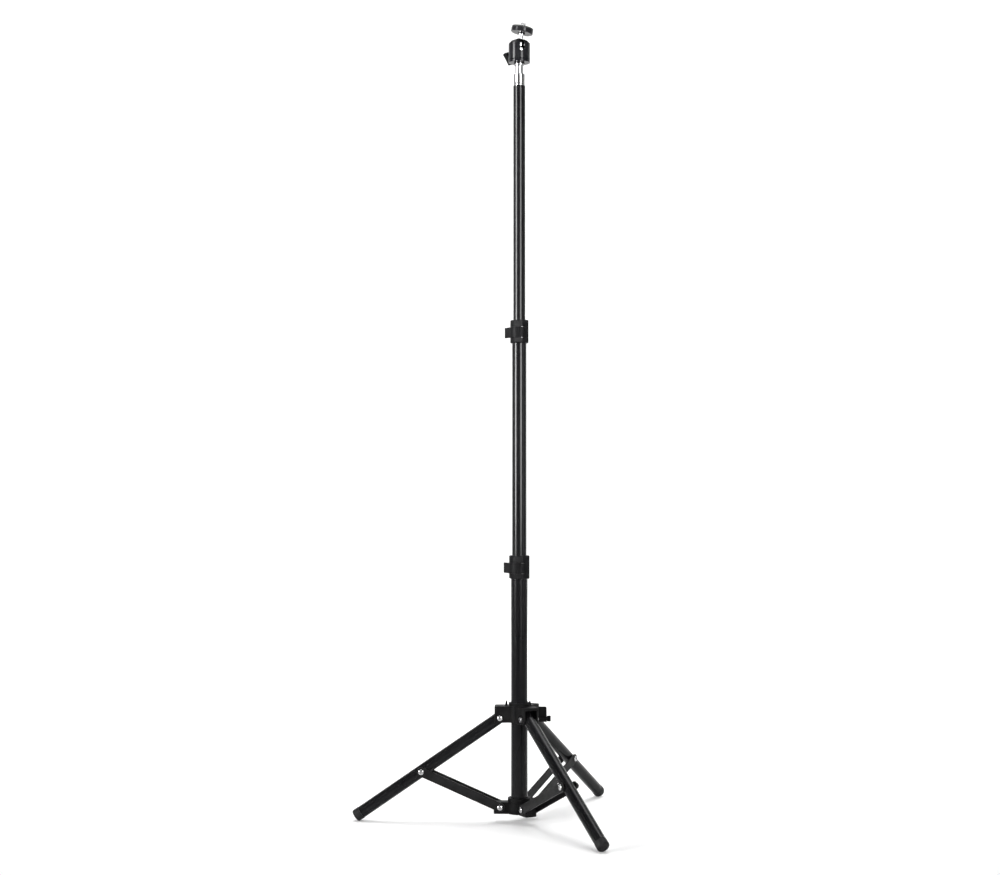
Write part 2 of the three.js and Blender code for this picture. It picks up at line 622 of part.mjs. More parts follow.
for (const { side, azimuth, strutHeads } of legs) {
  const leg = legFrame(azimuth, upperPinZ, Math.PI - legAngle);
  addPiece(side + "_leg", legTube(), blackGloss, leg);
  addPiece(side + "_foot", footCap(), blackRubber, leg);

  const strut = legFrame(azimuth, LOWER_PIN_HEIGHT, strutAngle);
  addPiece(side + "_strut_bar_a", strutBar(1), blackSteel, strut);
  addPiece(side + "_strut_bar_b", strutBar(-1), blackSteel, strut);
  addPiece(side + "_strut_pin_head", strutPinHead(strutHeads), chrome, strut);
  addPiece(side + "_strut_pin_nut", strutPinNut(-strutHeads), blackSteel, strut);

  const upperPin = legFrame(azimuth, upperPinZ, 0);
  const upperSeat = upperLugHalf + SCREW_HEAD_SEAT;
  const nutSeat = upperLugHalf - NUT_RECESS_DEPTH + GAP;
  const upperScrew = domedScrew(upperSeat + nutSeat + NUT_HEIGHT).translate(0, 0, upperSeat);
  addPiece(side + "_leg_screw", laidAcross(upperScrew, 1), chrome, upperPin);
  addPiece(side + "_leg_nut", laidAcross(boredNut(nutSeat, NUT_HEIGHT), -1), steel, upperPin);

  const lowerPin = legFrame(azimuth, LOWER_PIN_HEIGHT, 0);
  const lowerScrewLength = strutHeadSeat + strutNutSeat + NUT_HEIGHT + SCREW_TIP;
  const lowerScrew = domedScrew(lowerScrewLength).translate(0, 0, strutHeadSeat);
  addPiece(side + "_strut_screw", laidAcross(lowerScrew, strutHeads), chrome, lowerPin);
  const strutNut = boredNut(strutNutSeat, NUT_HEIGHT);
  addPiece(side + "_strut_nut", laidAcross(strutNut, -strutHeads), blackSteel, lowerPin);
}

// ---------------------------------------------------------------- Stud on the upper tube

const studFoot = upperTubeTop + GAP;
const studFootTop = studFoot + STUD_FOOT_HEIGHT;
const studHeadBottom = studFootTop + STUD_NECK_HEIGHT;
const studHeadTop = studHeadBottom + STUD_HEAD_HEIGHT;
const studPlugR = tubeBore(upperTubeD) - GAP;
const studFootR = STUD_FOOT_D / 2;
const groove = studFoot + STUD_GROOVE_HEIGHT;
addPiece(
  "top_stud",
  turned(
    [
      [0, upperTubeTop - STUD_PLUG],
      [studPlugR, upperTubeTop - STUD_PLUG],
      [studPlugR, studFoot],
      [studFootR, studFoot],
      [studFootR, groove - STUD_GROOVE],
      [studFootR - STUD_GROOVE, groove],
      [studFootR, groove + STUD_GROOVE],
      [studFootR, studFootTop],
      [STUD_NECK_D / 2, studFootTop],
      [STUD_NECK_D / 2, studHeadBottom],
      [STUD_HEAD_D / 2, studHeadBottom],
      [STUD_HEAD_D / 2, studHeadTop],
      [STUD_THREAD_D / 2, studHeadTop],
      [STUD_THREAD_D / 2, studHeadTop + STUD_THREAD_LENGTH],
      [0, studHeadTop + STUD_THREAD_LENGTH],
    ],
    COLUMN_SIDES,
  ),
  chrome,
);

// ---------------------------------------------------------------- Ball head

const headBottom = studHeadTop + GAP;
const baseTop = headBottom + HEAD_BASE_HEIGHT;
const housingBottom = baseTop + GAP;
const knobZ = headBottom + KNOB_HEIGHT;
const seatR = BALL_D / 2 + GAP;
const cupBottom = knobZ + KNOB_SCREW_D / 2 + CUP_ABOVE_SCREW;
const ballZ = cupBottom + CUP_FLOOR + seatR;
const shoulder = ballZ + BALL_BELOW_SHOULDER;
const boreR = BALL_D / 2 + HEAD_BORE_GAP;
const headR = boreR + HEAD_WALL;
const threadHoleR = STUD_THREAD_D / 2 + GAP;
const spigotTop = baseTop + HEAD_BASE_SPIGOT;
const spigotR = boreR - GAP;
addPiece(
  "head_base",
  turned(
    [
      [threadHoleR, headBottom],
      [headR, headBottom],
      [headR, baseTop],
      [spigotR, baseTop],
      [spigotR, spigotTop],
      [threadHoleR, spigotTop],
      [threadHoleR, headBottom],
    ],
    COLUMN_SIDES,
  ),
  blackGloss,
);

// The housing's bore narrows above the ball into a spherical seat.
const seatEdgeR = Math.sqrt(seatR ** 2 - SEAT_RISE ** 2);
const seatEdgeAngle = THREE.MathUtils.radToDeg(Math.asin(SEAT_RISE / seatR));
const rimTop = shoulder + HEAD_CHAMFER_UP + HEAD_RIM_UP;
const housingShell = turned(
  [
    [boreR, housingBottom],
    [headR, housingBottom],
    [headR, shoulder],
    [headR - HEAD_CHAMFER_IN, shoulder + HEAD_CHAMFER_UP],
    [seatEdgeR + HEAD_RIM_WIDTH, rimTop],
    ...arcPoints(0, ballZ, seatR, seatEdgeAngle, 0, ARC_STEPS),
    [boreR, ballZ - GAP],
    [boreR, housingBottom],
  ],
  COLUMN_SIDES,
);
const alongKnob = (geometry) =>
  geometry.rotateY(Math.PI / 2).rotateZ(radians(KNOB_ANGLE)).translate(0, 0, knobZ);
const notchHalf = NOTCH_WIDTH / 2;
const notchFloor = shoulder - NOTCH_DEPTH + notchHalf;
const notchAngle = radians(NOTCH_ANGLE);
const housing = cut(
  housingShell,
  rod(notchHalf, BALL_D / 4, headR + PAST, HOLE_SIDES).rotateY(Math.PI / 2).rotateZ(notchAngle)
    .translate(0, 0, notchFloor),
  box([BALL_D / 4, headR + PAST], [-notchHalf, notchHalf], [notchFloor, rimTop + PAST]).rotateZ(notchAngle),
  alongKnob(rod(KNOB_SCREW_D / 2 + GAP, KNOB_SCREW_TIP, headR + PAST, HOLE_SIDES)),
);
addPiece("head_housing", housing, blackGloss);

// The cup lies under the ball and is pressed up by the end of the lock screw.
const cupTop = ballZ - CUP_RIM_DROP;
const cupEdgeAngle = -THREE.MathUtils.radToDeg(Math.asin(CUP_RIM_DROP / seatR));
const cupR = boreR - GAP;
const cupHollow = arcPoints(0, ballZ, seatR, cupEdgeAngle, -90, ARC_STEPS);
const cupProfile = [[0, cupBottom], [cupR, cupBottom], [cupR, cupTop], ...cupHollow];
addPiece("ball_cup", turned(cupProfile, COLUMN_SIDES), steel);

const upright = new THREE.Group();
upright.position.set(0, 0, ballZ);
upright.rotation.y = radians(HEAD_TILT);
part.add(upright);

const ballR = BALL_D / 2;
const stemR = STEM_D / 2;
const stemJoinAngle = THREE.MathUtils.radToDeg(Math.acos(stemR / ballR));
const stemTop = PLATFORM_BELOW - GAP;
addPiece(
  "ball_stem",
  turned(
    [
      [0, -ballR],
      ...arcPoints(0, 0, ballR, -75, stemJoinAngle, 2 * ARC_STEPS),
      [stemR, stemTop - STEM_FLANGE_HEIGHT],
      [STEM_FLANGE_D / 2, stemTop - STEM_FLANGE_HEIGHT],
      [STEM_FLANGE_D / 2, stemTop],
      [0, stemTop],
    ],
    COLUMN_SIDES,
  ),
  chrome,
  upright,
);

const platformR = PLATFORM_D / 2;
const platformTop = PLATFORM_BELOW + PLATFORM_HEIGHT;
const padBottom = platformTop + GAP;
const padTop = padBottom + PAD_HEIGHT;
const screwHoleR = CAMERA_SCREW_D / 2 + GAP;
const screwBottom = PLATFORM_BELOW + CAMERA_SCREW_ROOT / 2;
addPiece(
  "camera_platform",
  cut(
    turned(
      [
        [0, PLATFORM_BELOW],
        [platformR - PLATFORM_CHAMFER, PLATFORM_BELOW],
        [platformR, PLATFORM_BELOW + PLATFORM_CHAMFER],
        [platformR, platformTop],
        [0, platformTop],
      ],
      COLUMN_SIDES,
    ),
    rod(screwHoleR, screwBottom - GAP, platformTop + PAST, HOLE_SIDES),
  ),
  blackGloss,
  upright,
);
addPiece("platform_pad", ring(PAD_D / 2, screwHoleR, padBottom, padTop), blackRubber, upright);
addPiece(
  "camera_screw",
  rod(CAMERA_SCREW_D / 2, screwBottom, padTop + CAMERA_SCREW_LENGTH),
  steel,
  upright,
);

// The lock knob is one moulding on its screw: a round hub with a grip bar across it.
const hubStart = headR + 2 * GAP;
const hubEnd = hubStart + KNOB_HUB_LENGTH;
const gripHalf = KNOB_GRIP_WIDTH / 2;
const grip = box(
  [-KNOB_GRIP_LENGTH / 2, KNOB_GRIP_LENGTH / 2],
  [-gripHalf, gripHalf],
  [hubEnd - PAST, hubEnd + KNOB_GRIP_HEIGHT],
).rotateZ(radians(KNOB_TURN));
const knob = joined(
  rod(KNOB_SCREW_D / 2, KNOB_SCREW_TIP, hubEnd),
  rod(KNOB_HUB_D / 2, hubStart, hubEnd, COLUMN_SIDES),
  grip,
);
addPiece("head_lock_knob", alongKnob(knob), blackPlastic);

export default part;
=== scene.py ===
import json
import math

import bmesh
import bpy
from mathutils import Matrix, Vector


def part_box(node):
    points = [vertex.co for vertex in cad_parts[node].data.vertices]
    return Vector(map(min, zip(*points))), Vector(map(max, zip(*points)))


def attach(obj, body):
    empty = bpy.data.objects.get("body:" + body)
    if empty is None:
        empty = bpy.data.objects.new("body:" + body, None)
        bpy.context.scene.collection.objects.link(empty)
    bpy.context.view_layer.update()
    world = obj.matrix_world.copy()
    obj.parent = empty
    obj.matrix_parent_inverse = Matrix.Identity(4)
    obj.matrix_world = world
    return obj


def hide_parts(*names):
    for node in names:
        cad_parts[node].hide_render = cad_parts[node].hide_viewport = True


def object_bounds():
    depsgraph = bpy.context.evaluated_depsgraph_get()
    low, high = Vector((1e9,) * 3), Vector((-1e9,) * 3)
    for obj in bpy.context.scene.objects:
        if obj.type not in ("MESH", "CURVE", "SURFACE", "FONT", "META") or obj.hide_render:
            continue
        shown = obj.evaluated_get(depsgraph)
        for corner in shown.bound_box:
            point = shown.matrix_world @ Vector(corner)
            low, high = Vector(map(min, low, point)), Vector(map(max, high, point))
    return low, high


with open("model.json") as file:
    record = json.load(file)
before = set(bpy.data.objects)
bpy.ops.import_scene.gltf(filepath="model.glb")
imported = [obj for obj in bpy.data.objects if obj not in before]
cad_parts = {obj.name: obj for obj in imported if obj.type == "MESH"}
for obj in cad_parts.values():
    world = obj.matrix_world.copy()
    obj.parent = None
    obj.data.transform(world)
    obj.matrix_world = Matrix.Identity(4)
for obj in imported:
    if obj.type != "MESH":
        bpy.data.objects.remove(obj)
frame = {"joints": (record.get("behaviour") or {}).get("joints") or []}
cad_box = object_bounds()

# ---------------------------------------------------------------- Camera
# It stands in front of the stand, turned a little to its right, at half its height, and looks very
# slightly up, so the clamps are seen level, the tripod from above and the ball head from below.

VIEW_TURN = math.radians(1.77)
VIEW_DISTANCE = 2.34
VIEW_HEIGHT = 0.460
VIEW_PITCH = math.radians(1.13)
floor_z = cad_box[0][2]

camera_data = bpy.data.cameras.new("camera")
camera_data.sensor_width = 36
camera_data.lens = 63.68
camera_data.shift_x = -0.0193
camera = bpy.data.objects.new("camera", camera_data)
camera.location = (
    VIEW_DISTANCE * math.sin(VIEW_TURN),
    -VIEW_DISTANCE * math.cos(VIEW_TURN),
    floor_z + VIEW_HEIGHT,
)
camera.rotation_euler = (math.pi / 2 + VIEW_PITCH, 0, VIEW_TURN)
bpy.context.scene.collection.objects.link(camera)
bpy.context.scene.camera = camera

# ---------------------------------------------------------------- Floor and light
# Pale paper lies on the floor and curves up into a wall all round, far from the stand. Two tall soft
# boxes stand at its front, a small one stands low and two hang overhead, as for glossy goods.

MM = 0.001
SHEET_FLAT = 4.5
SHEET_BEND = 1.5
SHEET_HEIGHT = 5.0
BEND_STEPS = 12
SHEET_TURN_STEPS = 96

sheet_mesh = bmesh.new()
sheet_line = [(0, floor_z), (SHEET_FLAT, floor_z)]
for i in range(1, BEND_STEPS + 1):
    angle = math.pi / 2 * i / BEND_STEPS
    sheet_line.append(
        (SHEET_FLAT + SHEET_BEND * math.sin(angle), floor_z + SHEET_BEND * (1 - math.cos(angle)))
    )
sheet_line.append((SHEET_FLAT + SHEET_BEND, floor_z + SHEET_BEND + SHEET_HEIGHT))
sheet_verts = [sheet_mesh.verts.new((r, 0, z)) for r, z in sheet_line]
sheet_edges = [sheet_mesh.edges.new(pair) for pair in zip(sheet_verts, sheet_verts[1:])]
bmesh.ops.spin(
    sheet_mesh,
    geom=sheet_verts + sheet_edges,
    cent=(0, 0, 0),
    axis=(0, 0, 1),
    angle=2 * math.pi,
    steps=SHEET_TURN_STEPS,
    use_merge=True,
)
bmesh.ops.remove_doubles(sheet_mesh, verts=sheet_mesh.verts, dist=MM)
sheet_data = bpy.data.meshes.new("paper_sheet")
sheet_mesh.to_mesh(sheet_data)
sheet_mesh.free()
sheet_data.shade_smooth()
sheet = bpy.data.objects.new("paper_sheet", sheet_data)
bpy.context.scene.collection.objects.link(sheet)
paper = bpy.data.materials.new("pale_paper")
paper.use_nodes = True
paper_shader = paper.node_tree.nodes["Principled BSDF"]
paper_shader.inputs["Base Color"].default_value = (0.92, 0.92, 0.92, 1)
paper_shader.inputs["Roughness"].default_value = 0.9
paper_shader.inputs["Specular IOR Level"].default_value = 0.1
sheet_data.materials.append(paper)

world = bpy.data.worlds.new("studio")
world.use_nodes = True
world.node_tree.nodes["Background"].inputs["Color"].default_value = (1, 1, 1, 1)
world.node_tree.nodes["Background"].inputs["Strength"].default_value = 0.03
bpy.context.scene.world = world
bpy.context.scene.view_settings.view_transform = "Standard"


def soft_box(name, place, aim, width, height, power, spread):
    """A rectangular lamp that looks at a point, its spread in degrees."""
    data = bpy.data.lights.new(name, "AREA")
    data.spread = math.radians(spread)
    data.shape = "RECTANGLE"
    data.size = width
    data.size_y = height
    data.energy = power
    lamp = bpy.data.objects.new(name, data)
    lamp.location = place
    lamp.rotation_euler = (Vector(aim) - Vector(place)).to_track_quat("-Z", "Y").to_euler()
    bpy.context.scene.collection.objects.link(lamp)


soft_box("soft_box_left", (-1.95, -1.22, 1.4), (0, 0, 1.4), 0.8, 2.2, 34, 60)
soft_box("soft_box_right", (1.15, -1.99, 1.4), (0, 0, 1.4), 0.8, 2.2, 21, 60)
soft_box("soft_box_low", (2.3, -0.9, 0.45), (0, 0, 0.45), 0.8, 0.8, 1.0, 90)
soft_box("soft_box_above", (0, 1.6, 3.4), (0, 1.6, 0), 3.0, 3.0, 42, 80)
soft_box("soft_box_behind", (0, 2.2, 3.2), (0, 4.6, 0.9), 7.0, 1.0, 190, 180)

# ---------------------------------------------------------------- Column tubes
# Three drawn aluminium tubes slide in one another. They are enamelled gloss black, their ends are
# deburred, and they carry faint lengthwise rubbing marks.

TUBE_WALL = 0.9 * MM
LIP_EASE = 0.25 * MM
ROUND_STEPS = 96
CREASE = math.radians(38)
WELD = 1e-6


def eased(points, ease, closed=False, steps=4):
    """A profile in the XZ plane with its corners rounded."""
    corners = [Vector(point) for point in points]
    count = len(corners)
    rounded = []
    for i, corner in enumerate(corners):
        if not closed and i in (0, count - 1):
            rounded.append(corner)
            continue
        before = corners[i - 1] - corner
        after = corners[(i + 1) % count] - corner
        start = corner + before.normalized() * min(ease, before.length / 2.2)
        end = corner + after.normalized() * min(ease, after.length / 2.2)
        for step in range(steps + 1):
            t = step / steps
            rounded.append(start.lerp(corner, t).lerp(corner.lerp(end, t), t))
    return rounded


def spun(profile, closed=False, steps=ROUND_STEPS):
    """A solid of revolution about Z. An open profile starts and ends on the axis."""
    shape = bmesh.new()
    verts = [shape.verts.new((r, 0, z)) for r, z in profile]
    edges = [shape.edges.new(pair) for pair in zip(verts, verts[1:])]
    if closed:
        edges.append(shape.edges.new((verts[-1], verts[0])))
    bmesh.ops.spin(
        shape,
        geom=verts + edges,
        cent=(0, 0, 0),
        axis=(0, 0, 1),
        angle=2 * math.pi,
        steps=steps,
        use_merge=True,
    )
    bmesh.ops.remove_doubles(shape, verts=shape.verts, dist=WELD / 10)
    bmesh.ops.recalc_face_normals(shape, faces=shape.faces)
    return shape


def finished(shape, node, body, material, bevel=0.0):
    """Turns a bmesh into the piece that stands for a node and rides on its body."""
    mesh = bpy.data.meshes.new(node + "_finished")
    shape.to_mesh(mesh)
    shape.free()
    mesh.materials.append(material)
    mesh.shade_smooth()
    mesh.set_sharp_from_angle(angle=CREASE)
    piece = bpy.data.objects.new(node + "_finished", mesh)
    bpy.context.scene.collection.objects.link(piece)
    if bevel:
        edges = piece.modifiers.new("edges", "BEVEL")
        edges.width = bevel
        edges.segments = 2
        edges.limit_method = "ANGLE"
        edges.angle_limit = CREASE
        edges.harden_normals = True
    else:
        faces = piece.modifiers.new("faces", "WEIGHTED_NORMAL")
        faces.keep_sharp = True
    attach(piece, body)
    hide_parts(node)
    return piece


def shader_of(material):
    return material.node_tree.nodes["Principled BSDF"]


def new_material(name, colour, roughness, metallic=0.0):
    material = bpy.data.materials.new(name)
    material.use_nodes = True
    shader = shader_of(material)
    shader.inputs["Base Color"].default_value = (*colour, 1)
    shader.inputs["Roughness"].default_value = roughness
    shader.inputs["Metallic"].default_value = metallic
    return material


def noise(material, scale, stretch=(1, 1, 1), detail=3.0):
    """Noise over the object's own coordinates, in cells per metre."""
    nodes, links = material.node_tree.nodes, material.node_tree.links
    place = nodes.new("ShaderNodeTexCoord")
    mapping = nodes.new("ShaderNodeMapping")
    mapping.inputs["Scale"].default_value = stretch
    texture = nodes.new("ShaderNodeTexNoise")
    texture.inputs["Scale"].default_value = scale
    texture.inputs["Detail"].default_value = detail
    links.new(place.outputs["Object"], mapping.inputs["Vector"])
    links.new(mapping.outputs["Vector"], texture.inputs["Vector"])
    return texture.outputs["Fac"]


def vary(material, socket, source, low, high):
    """Spreads a shader value between two limits after a texture."""
    nodes, links = material.node_tree.nodes, material.node_tree.links
    span = nodes.new("ShaderNodeMapRange")
    span.inputs["From Min"].default_value = 0.3
    span.inputs["From Max"].default_value = 0.7
    span.inputs["To Min"].default_value = low
    span.inputs["To Max"].default_value = high
    links.new(source, span.inputs["Value"])
    links.new(span.outputs["Result"], shader_of(material).inputs[socket])


def tint(material, source, dark, light):
    """Blends the base colour between two close tones after a texture."""
    nodes, links = material.node_tree.nodes, material.node_tree.links
    ramp = nodes.new("ShaderNodeValToRGB")
    ramp.color_ramp.elements[0].position = 0.35
    ramp.color_ramp.elements[0].color = (*dark, 1)
    ramp.color_ramp.elements[1].position = 0.65
    ramp.color_ramp.elements[1].color = (*light, 1)
    links.new(source, ramp.inputs["Fac"])
    links.new(ramp.outputs["Color"], shader_of(material).inputs["Base Color"])


def roughen(material, source, depth, strength=1.0):
    """Raises a fine relief after a texture, its depth in metres."""
    nodes, links = material.node_tree.nodes, material.node_tree.links
    bump = nodes.new("ShaderNodeBump")
    bump.inputs["Strength"].default_value = strength
    bump.inputs["Distance"].default_value = depth
    links.new(source, bump.inputs["Height"])
    links.new(bump.outputs["Normal"], shader_of(material).inputs["Normal"])


enamel = new_material("gloss_black_enamel", (0.0045, 0.0045, 0.005), 0.2)
shader_of(enamel).inputs["Specular IOR Level"].default_value = 0.14
tint(enamel, noise(enamel, 35, (1, 1, 0.2)), (0.003, 0.003, 0.0035), (0.006, 0.006, 0.0065))
vary(enamel, "Roughness", noise(enamel, 300, (1, 1, 0.05), 4), 0.14, 0.24)
roughen(enamel, noise(enamel, 500), 0.00001, 0.1)

for node, body in (
    ("lower_tube", "column"),
    ("middle_tube", "middle_section"),
    ("upper_tube", "upper_section"),
):
    low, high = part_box(node)
    radius = high.x
    bore = radius - TUBE_WALL
    profile = [(bore, low.z), (radius, low.z), (radius, high.z), (bore, high.z)]
    finished(spun(eased(profile, LIP_EASE, True), True), node, body, enamel)

# ---------------------------------------------------------------- Base cap and glides
# Moulded plugs. The cap closes the column's lower end, and a glide at the bottom of each sliding
# tube centres it in the tube outside.

CAP_EASE = 0.8 * MM
CAP_FLANGE = 2.2 * MM
CAP_DISH = 0.6 * MM
CAP_DISH_R = 5.6 * MM
FIT = 0.3 * MM
PLUG_EASE = 0.5 * MM

plastic = new_material("moulded_black_plastic", (0.0075, 0.0075, 0.0078), 0.36)
shader_of(plastic).inputs["Specular IOR Level"].default_value = 0.02
tint(plastic, noise(plastic, 60), (0.006, 0.006, 0.0063), (0.009, 0.009, 0.0094))
vary(plastic, "Roughness", noise(plastic, 250), 0.3, 0.42)
roughen(plastic, noise(plastic, 2600, (1, 1, 1), 2), 0.00003, 0.5)

low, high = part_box("base_cap")
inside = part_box("lower_tube")[1].x - TUBE_WALL - FIT
cap_profile = [
    (0, CAP_DISH),
    (CAP_DISH_R - CAP_DISH, CAP_DISH),
    (CAP_DISH_R, low.z),
    (high.x, low.z),
    (high.x, CAP_FLANGE),
    (inside, CAP_FLANGE),
    (inside, high.z),
    (0, high.z),
]
finished(spun(eased(cap_profile, CAP_EASE)), "base_cap", "column", plastic)


def glide(node, body, tube):
    """A plug whose rim lies under a tube's end and whose spigot goes up inside it."""
    low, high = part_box(node)
    tube_low, tube_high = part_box(tube)
    plug = tube_high.x - TUBE_WALL - FIT
    rim_top = tube_low.z - FIT
    profile = [
        (0, low.z),
        (high.x, low.z),
        (high.x, rim_top),
        (plug, rim_top),
        (plug, high.z),
        (0, high.z),
    ]
    finished(spun(eased(profile, PLUG_EASE)), node, body, plastic)


glide("middle_tube_glide", "middle_section", "middle_tube")
glide("upper_tube_glide", "upper_section", "upper_tube")

# ---------------------------------------------------------------- Flip-lever clamps
# Each clamp is a plastic sleeve moulded round the tubes, with one slanted flat cheek. A curved
# lever lies in a window at its front, turns on an upright steel pin and ends in a straight thumb tab.

FACET_PROUD = 2.1 * MM
FACET_LEFT = 7.7 * MM
FACET_RIGHT = 3.4 * MM
LEVER_SUNK = 1.0 * MM
LEVER_THICKNESS = 2.4 * MM
LEVER_TAB = 16 * MM
LEVER_GAP = 0.4 * MM
LEVER_SWEEP = 6 * MM
LEVER_EASE = 0.5 * MM
SLEEVE_END_EASE = 1.1 * MM
SLEEVE_EASE = 0.25 * MM
PIN_BELOW_TOP = 3 * MM
PIN_EASE = 0.3 * MM
LEVER_END = math.radians(-150)
BARREL_R = 2.5 * MM
PIN_R = 1.25 * MM
OVERLAP = 1 * MM
OUTLINE_STEPS = 72
LEVER_STEPS = 32
SMALL_STEPS = 32


def prism(outline, low, high):
    """A plan outline carried up from one height to another."""
    shape = bmesh.new()
    face = shape.faces.new([shape.verts.new((x, y, low)) for x, y in outline])
    raised = bmesh.ops.extrude_face_region(shape, geom=[face])["geom"]
    bmesh.ops.translate(
        shape, vec=(0, 0, high - low), verts=[v for v in raised if isinstance(v, bmesh.types.BMVert)]
    )
    bmesh.ops.recalc_face_normals(shape, faces=shape.faces)
    return shape


def drum(radius, low, high, segments=64):
    """A plain upright cylinder."""
    shape = bmesh.new()
    bmesh.ops.create_cone(
        shape,
        cap_ends=True,
        segments=segments,
        radius1=radius,
        radius2=radius,
        depth=high - low,
        matrix=Matrix.Translation((0, 0, (high + low) / 2)),
    )
    return shape


def block(low, high):
    """A plain box between two corners."""
    shape = bmesh.new()
    low, high = Vector(low), Vector(high)
    size = Matrix.Diagonal((*(high - low), 1))
    bmesh.ops.create_cube(shape, size=1, matrix=Matrix.Translation((low + high) / 2) @ size)
    return shape


def placed(shape, matrix):
    bmesh.ops.transform(shape, matrix=matrix, verts=shape.verts)
    return shape


def worked(operation, shape, *others):
    """Joins other solids to a shape, or cuts them out of it."""
    objects = []
    for solid in (shape, *others):
        mesh = bpy.data.meshes.new("rough")
        solid.to_mesh(mesh)
        solid.free()
        objects.append(bpy.data.objects.new("rough", mesh))
        bpy.context.scene.collection.objects.link(objects[-1])
    for tool in objects[1:]:
        step = objects[0].modifiers.new("step", "BOOLEAN")
        step.operation = operation
        step.solver = "EXACT"
        step.object = tool
    made = objects[0].evaluated_get(bpy.context.evaluated_depsgraph_get())
    result = bmesh.new()
    result.from_mesh(made.to_mesh())
    for used in objects:
        bpy.data.objects.remove(used)
    bmesh.ops.remove_doubles(result, verts=result.verts, dist=WELD)
    return result


def joined(shape, *others):
    return worked("UNION", shape, *others)


def carved(shape, *tools):
    return worked("DIFFERENCE", shape, *tools)


def polar(radius, angle):
    return Vector((radius * math.cos(angle), radius * math.sin(angle)))


def arc(radius, start, end, steps):
    return [polar(radius, start + (end - start) * i / steps) for i in range(steps + 1)]


def clamp_outline(radius):
    """A round sleeve in plan, with a flat facet that stands a little proud of it."""
    face = radius + FACET_PROUD
    left, right = (
        Vector((face + along, along - face)) * math.sqrt(0.5) for along in (-FACET_LEFT, FACET_RIGHT)
    )
    start = math.atan2(right.y, right.x) + math.acos(radius / right.length)
    end = math.atan2(left.y, left.x) - math.acos(radius / left.length) + 2 * math.pi
    return arc(radius, start, end, OUTLINE_STEPS) + [left, right]


def lever_outline(inner, outer, pin_angle):
    """A lever in plan: it curves round the sleeve and leaves it as a straight tab."""
    along = polar(LEVER_TAB, LEVER_END - math.pi / 2)
    outside = arc(outer, LEVER_END, pin_angle, LEVER_STEPS)
    inside = arc(inner, pin_angle, LEVER_END, LEVER_STEPS)
    return [outside[0] + along] + outside + inside + [inside[-1] + along]


steel = new_material("plain_steel", (0.3, 0.3, 0.3), 0.3, 1.0)
vary(steel, "Roughness", noise(steel, 900), 0.24, 0.4)
tint(steel, noise(steel, 200), (0.25, 0.25, 0.255), (0.34, 0.34, 0.34))

record_joints = {joint["name"]: joint for joint in frame["joints"]}


def clamp(prefix, body, lever_body, outside_tube, inside_tube):
    """One clamp, made of its sleeve, its lever and the lever's pin."""
    low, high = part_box(prefix + "_clamp_body")
    lever_low, lever_high = (corner.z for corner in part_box(prefix + "_clamp_lever"))
    outside_r, tube_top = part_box(outside_tube)[1].x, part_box(outside_tube)[1].z
    inside_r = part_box(inside_tube)[1].x
    radius = -low.x
    inner = radius - LEVER_SUNK
    outer = inner + LEVER_THICKNESS
    pin = Vector(record_joints[prefix + "_lever_flip"]["pos_m"])
    pin_angle = math.atan2(pin.y, pin.x)
    at_pin = Matrix.Translation((pin.x, pin.y, 0))
    window_low, window_high = lever_low - LEVER_GAP, lever_high + LEVER_GAP
    sleeve = prism(clamp_outline(radius), low.z, high.z)
    ends = [e for e in sleeve.edges if abs(e.verts[0].co.z - e.verts[1].co.z) < WELD]
    bmesh.ops.bevel(
        sleeve,
        geom=ends,
        offset=SLEEVE_END_EASE,
        segments=3,
        profile=0.5,
        affect="EDGES",
        material=-1,
    )
    window = lever_outline(inner - LEVER_GAP, outer + LEVER_SWEEP, pin_angle)
    sleeve = carved(
        sleeve,
        drum(outside_r + FIT, low.z - OVERLAP, tube_top + FIT),
        drum(inside_r + FIT, low.z, high.z + OVERLAP),
        prism(window, window_low, window_high),
        placed(drum(BARREL_R + LEVER_GAP, window_low, window_high), at_pin),
        placed(drum(PIN_R + FIT, low.z - OVERLAP, high.z - PIN_BELOW_TOP, SMALL_STEPS), at_pin),
    )
    finished(sleeve, prefix + "_clamp_body", body, plastic, SLEEVE_EASE)

    lever = joined(
        prism(lever_outline(inner, outer, pin_angle), lever_low, lever_high),
        placed(drum(BARREL_R, lever_low, lever_high), at_pin),
    )
    pin_hole = drum(PIN_R + FIT, lever_low - OVERLAP, lever_high + OVERLAP, SMALL_STEPS)
    lever = carved(lever, placed(pin_hole, at_pin))
    finished(lever, prefix + "_clamp_lever", lever_body, plastic, LEVER_EASE)

    pin_low, pin_high = (corner.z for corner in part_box(prefix + "_clamp_pin"))
    pin_side = [(0, pin_low), (PIN_R, pin_low), (PIN_R, pin_high), (0, pin_high)]
    rod = spun(eased(pin_side, PIN_EASE), steps=SMALL_STEPS)
    finished(placed(rod, at_pin), prefix + "_clamp_pin", body, steel)


clamp("lower", "column", "lower_lever", "lower_tube", "middle_tube")
clamp("upper", "middle_section", "upper_lever", "middle_tube", "upper_tube")

# ---------------------------------------------------------------- Leg collars
# Two glass-filled nylon mouldings. The upper one slides on the column, holds the legs in three
# slotted lugs and has a rib for its lock screw. The lower one is fixed and carries the struts.

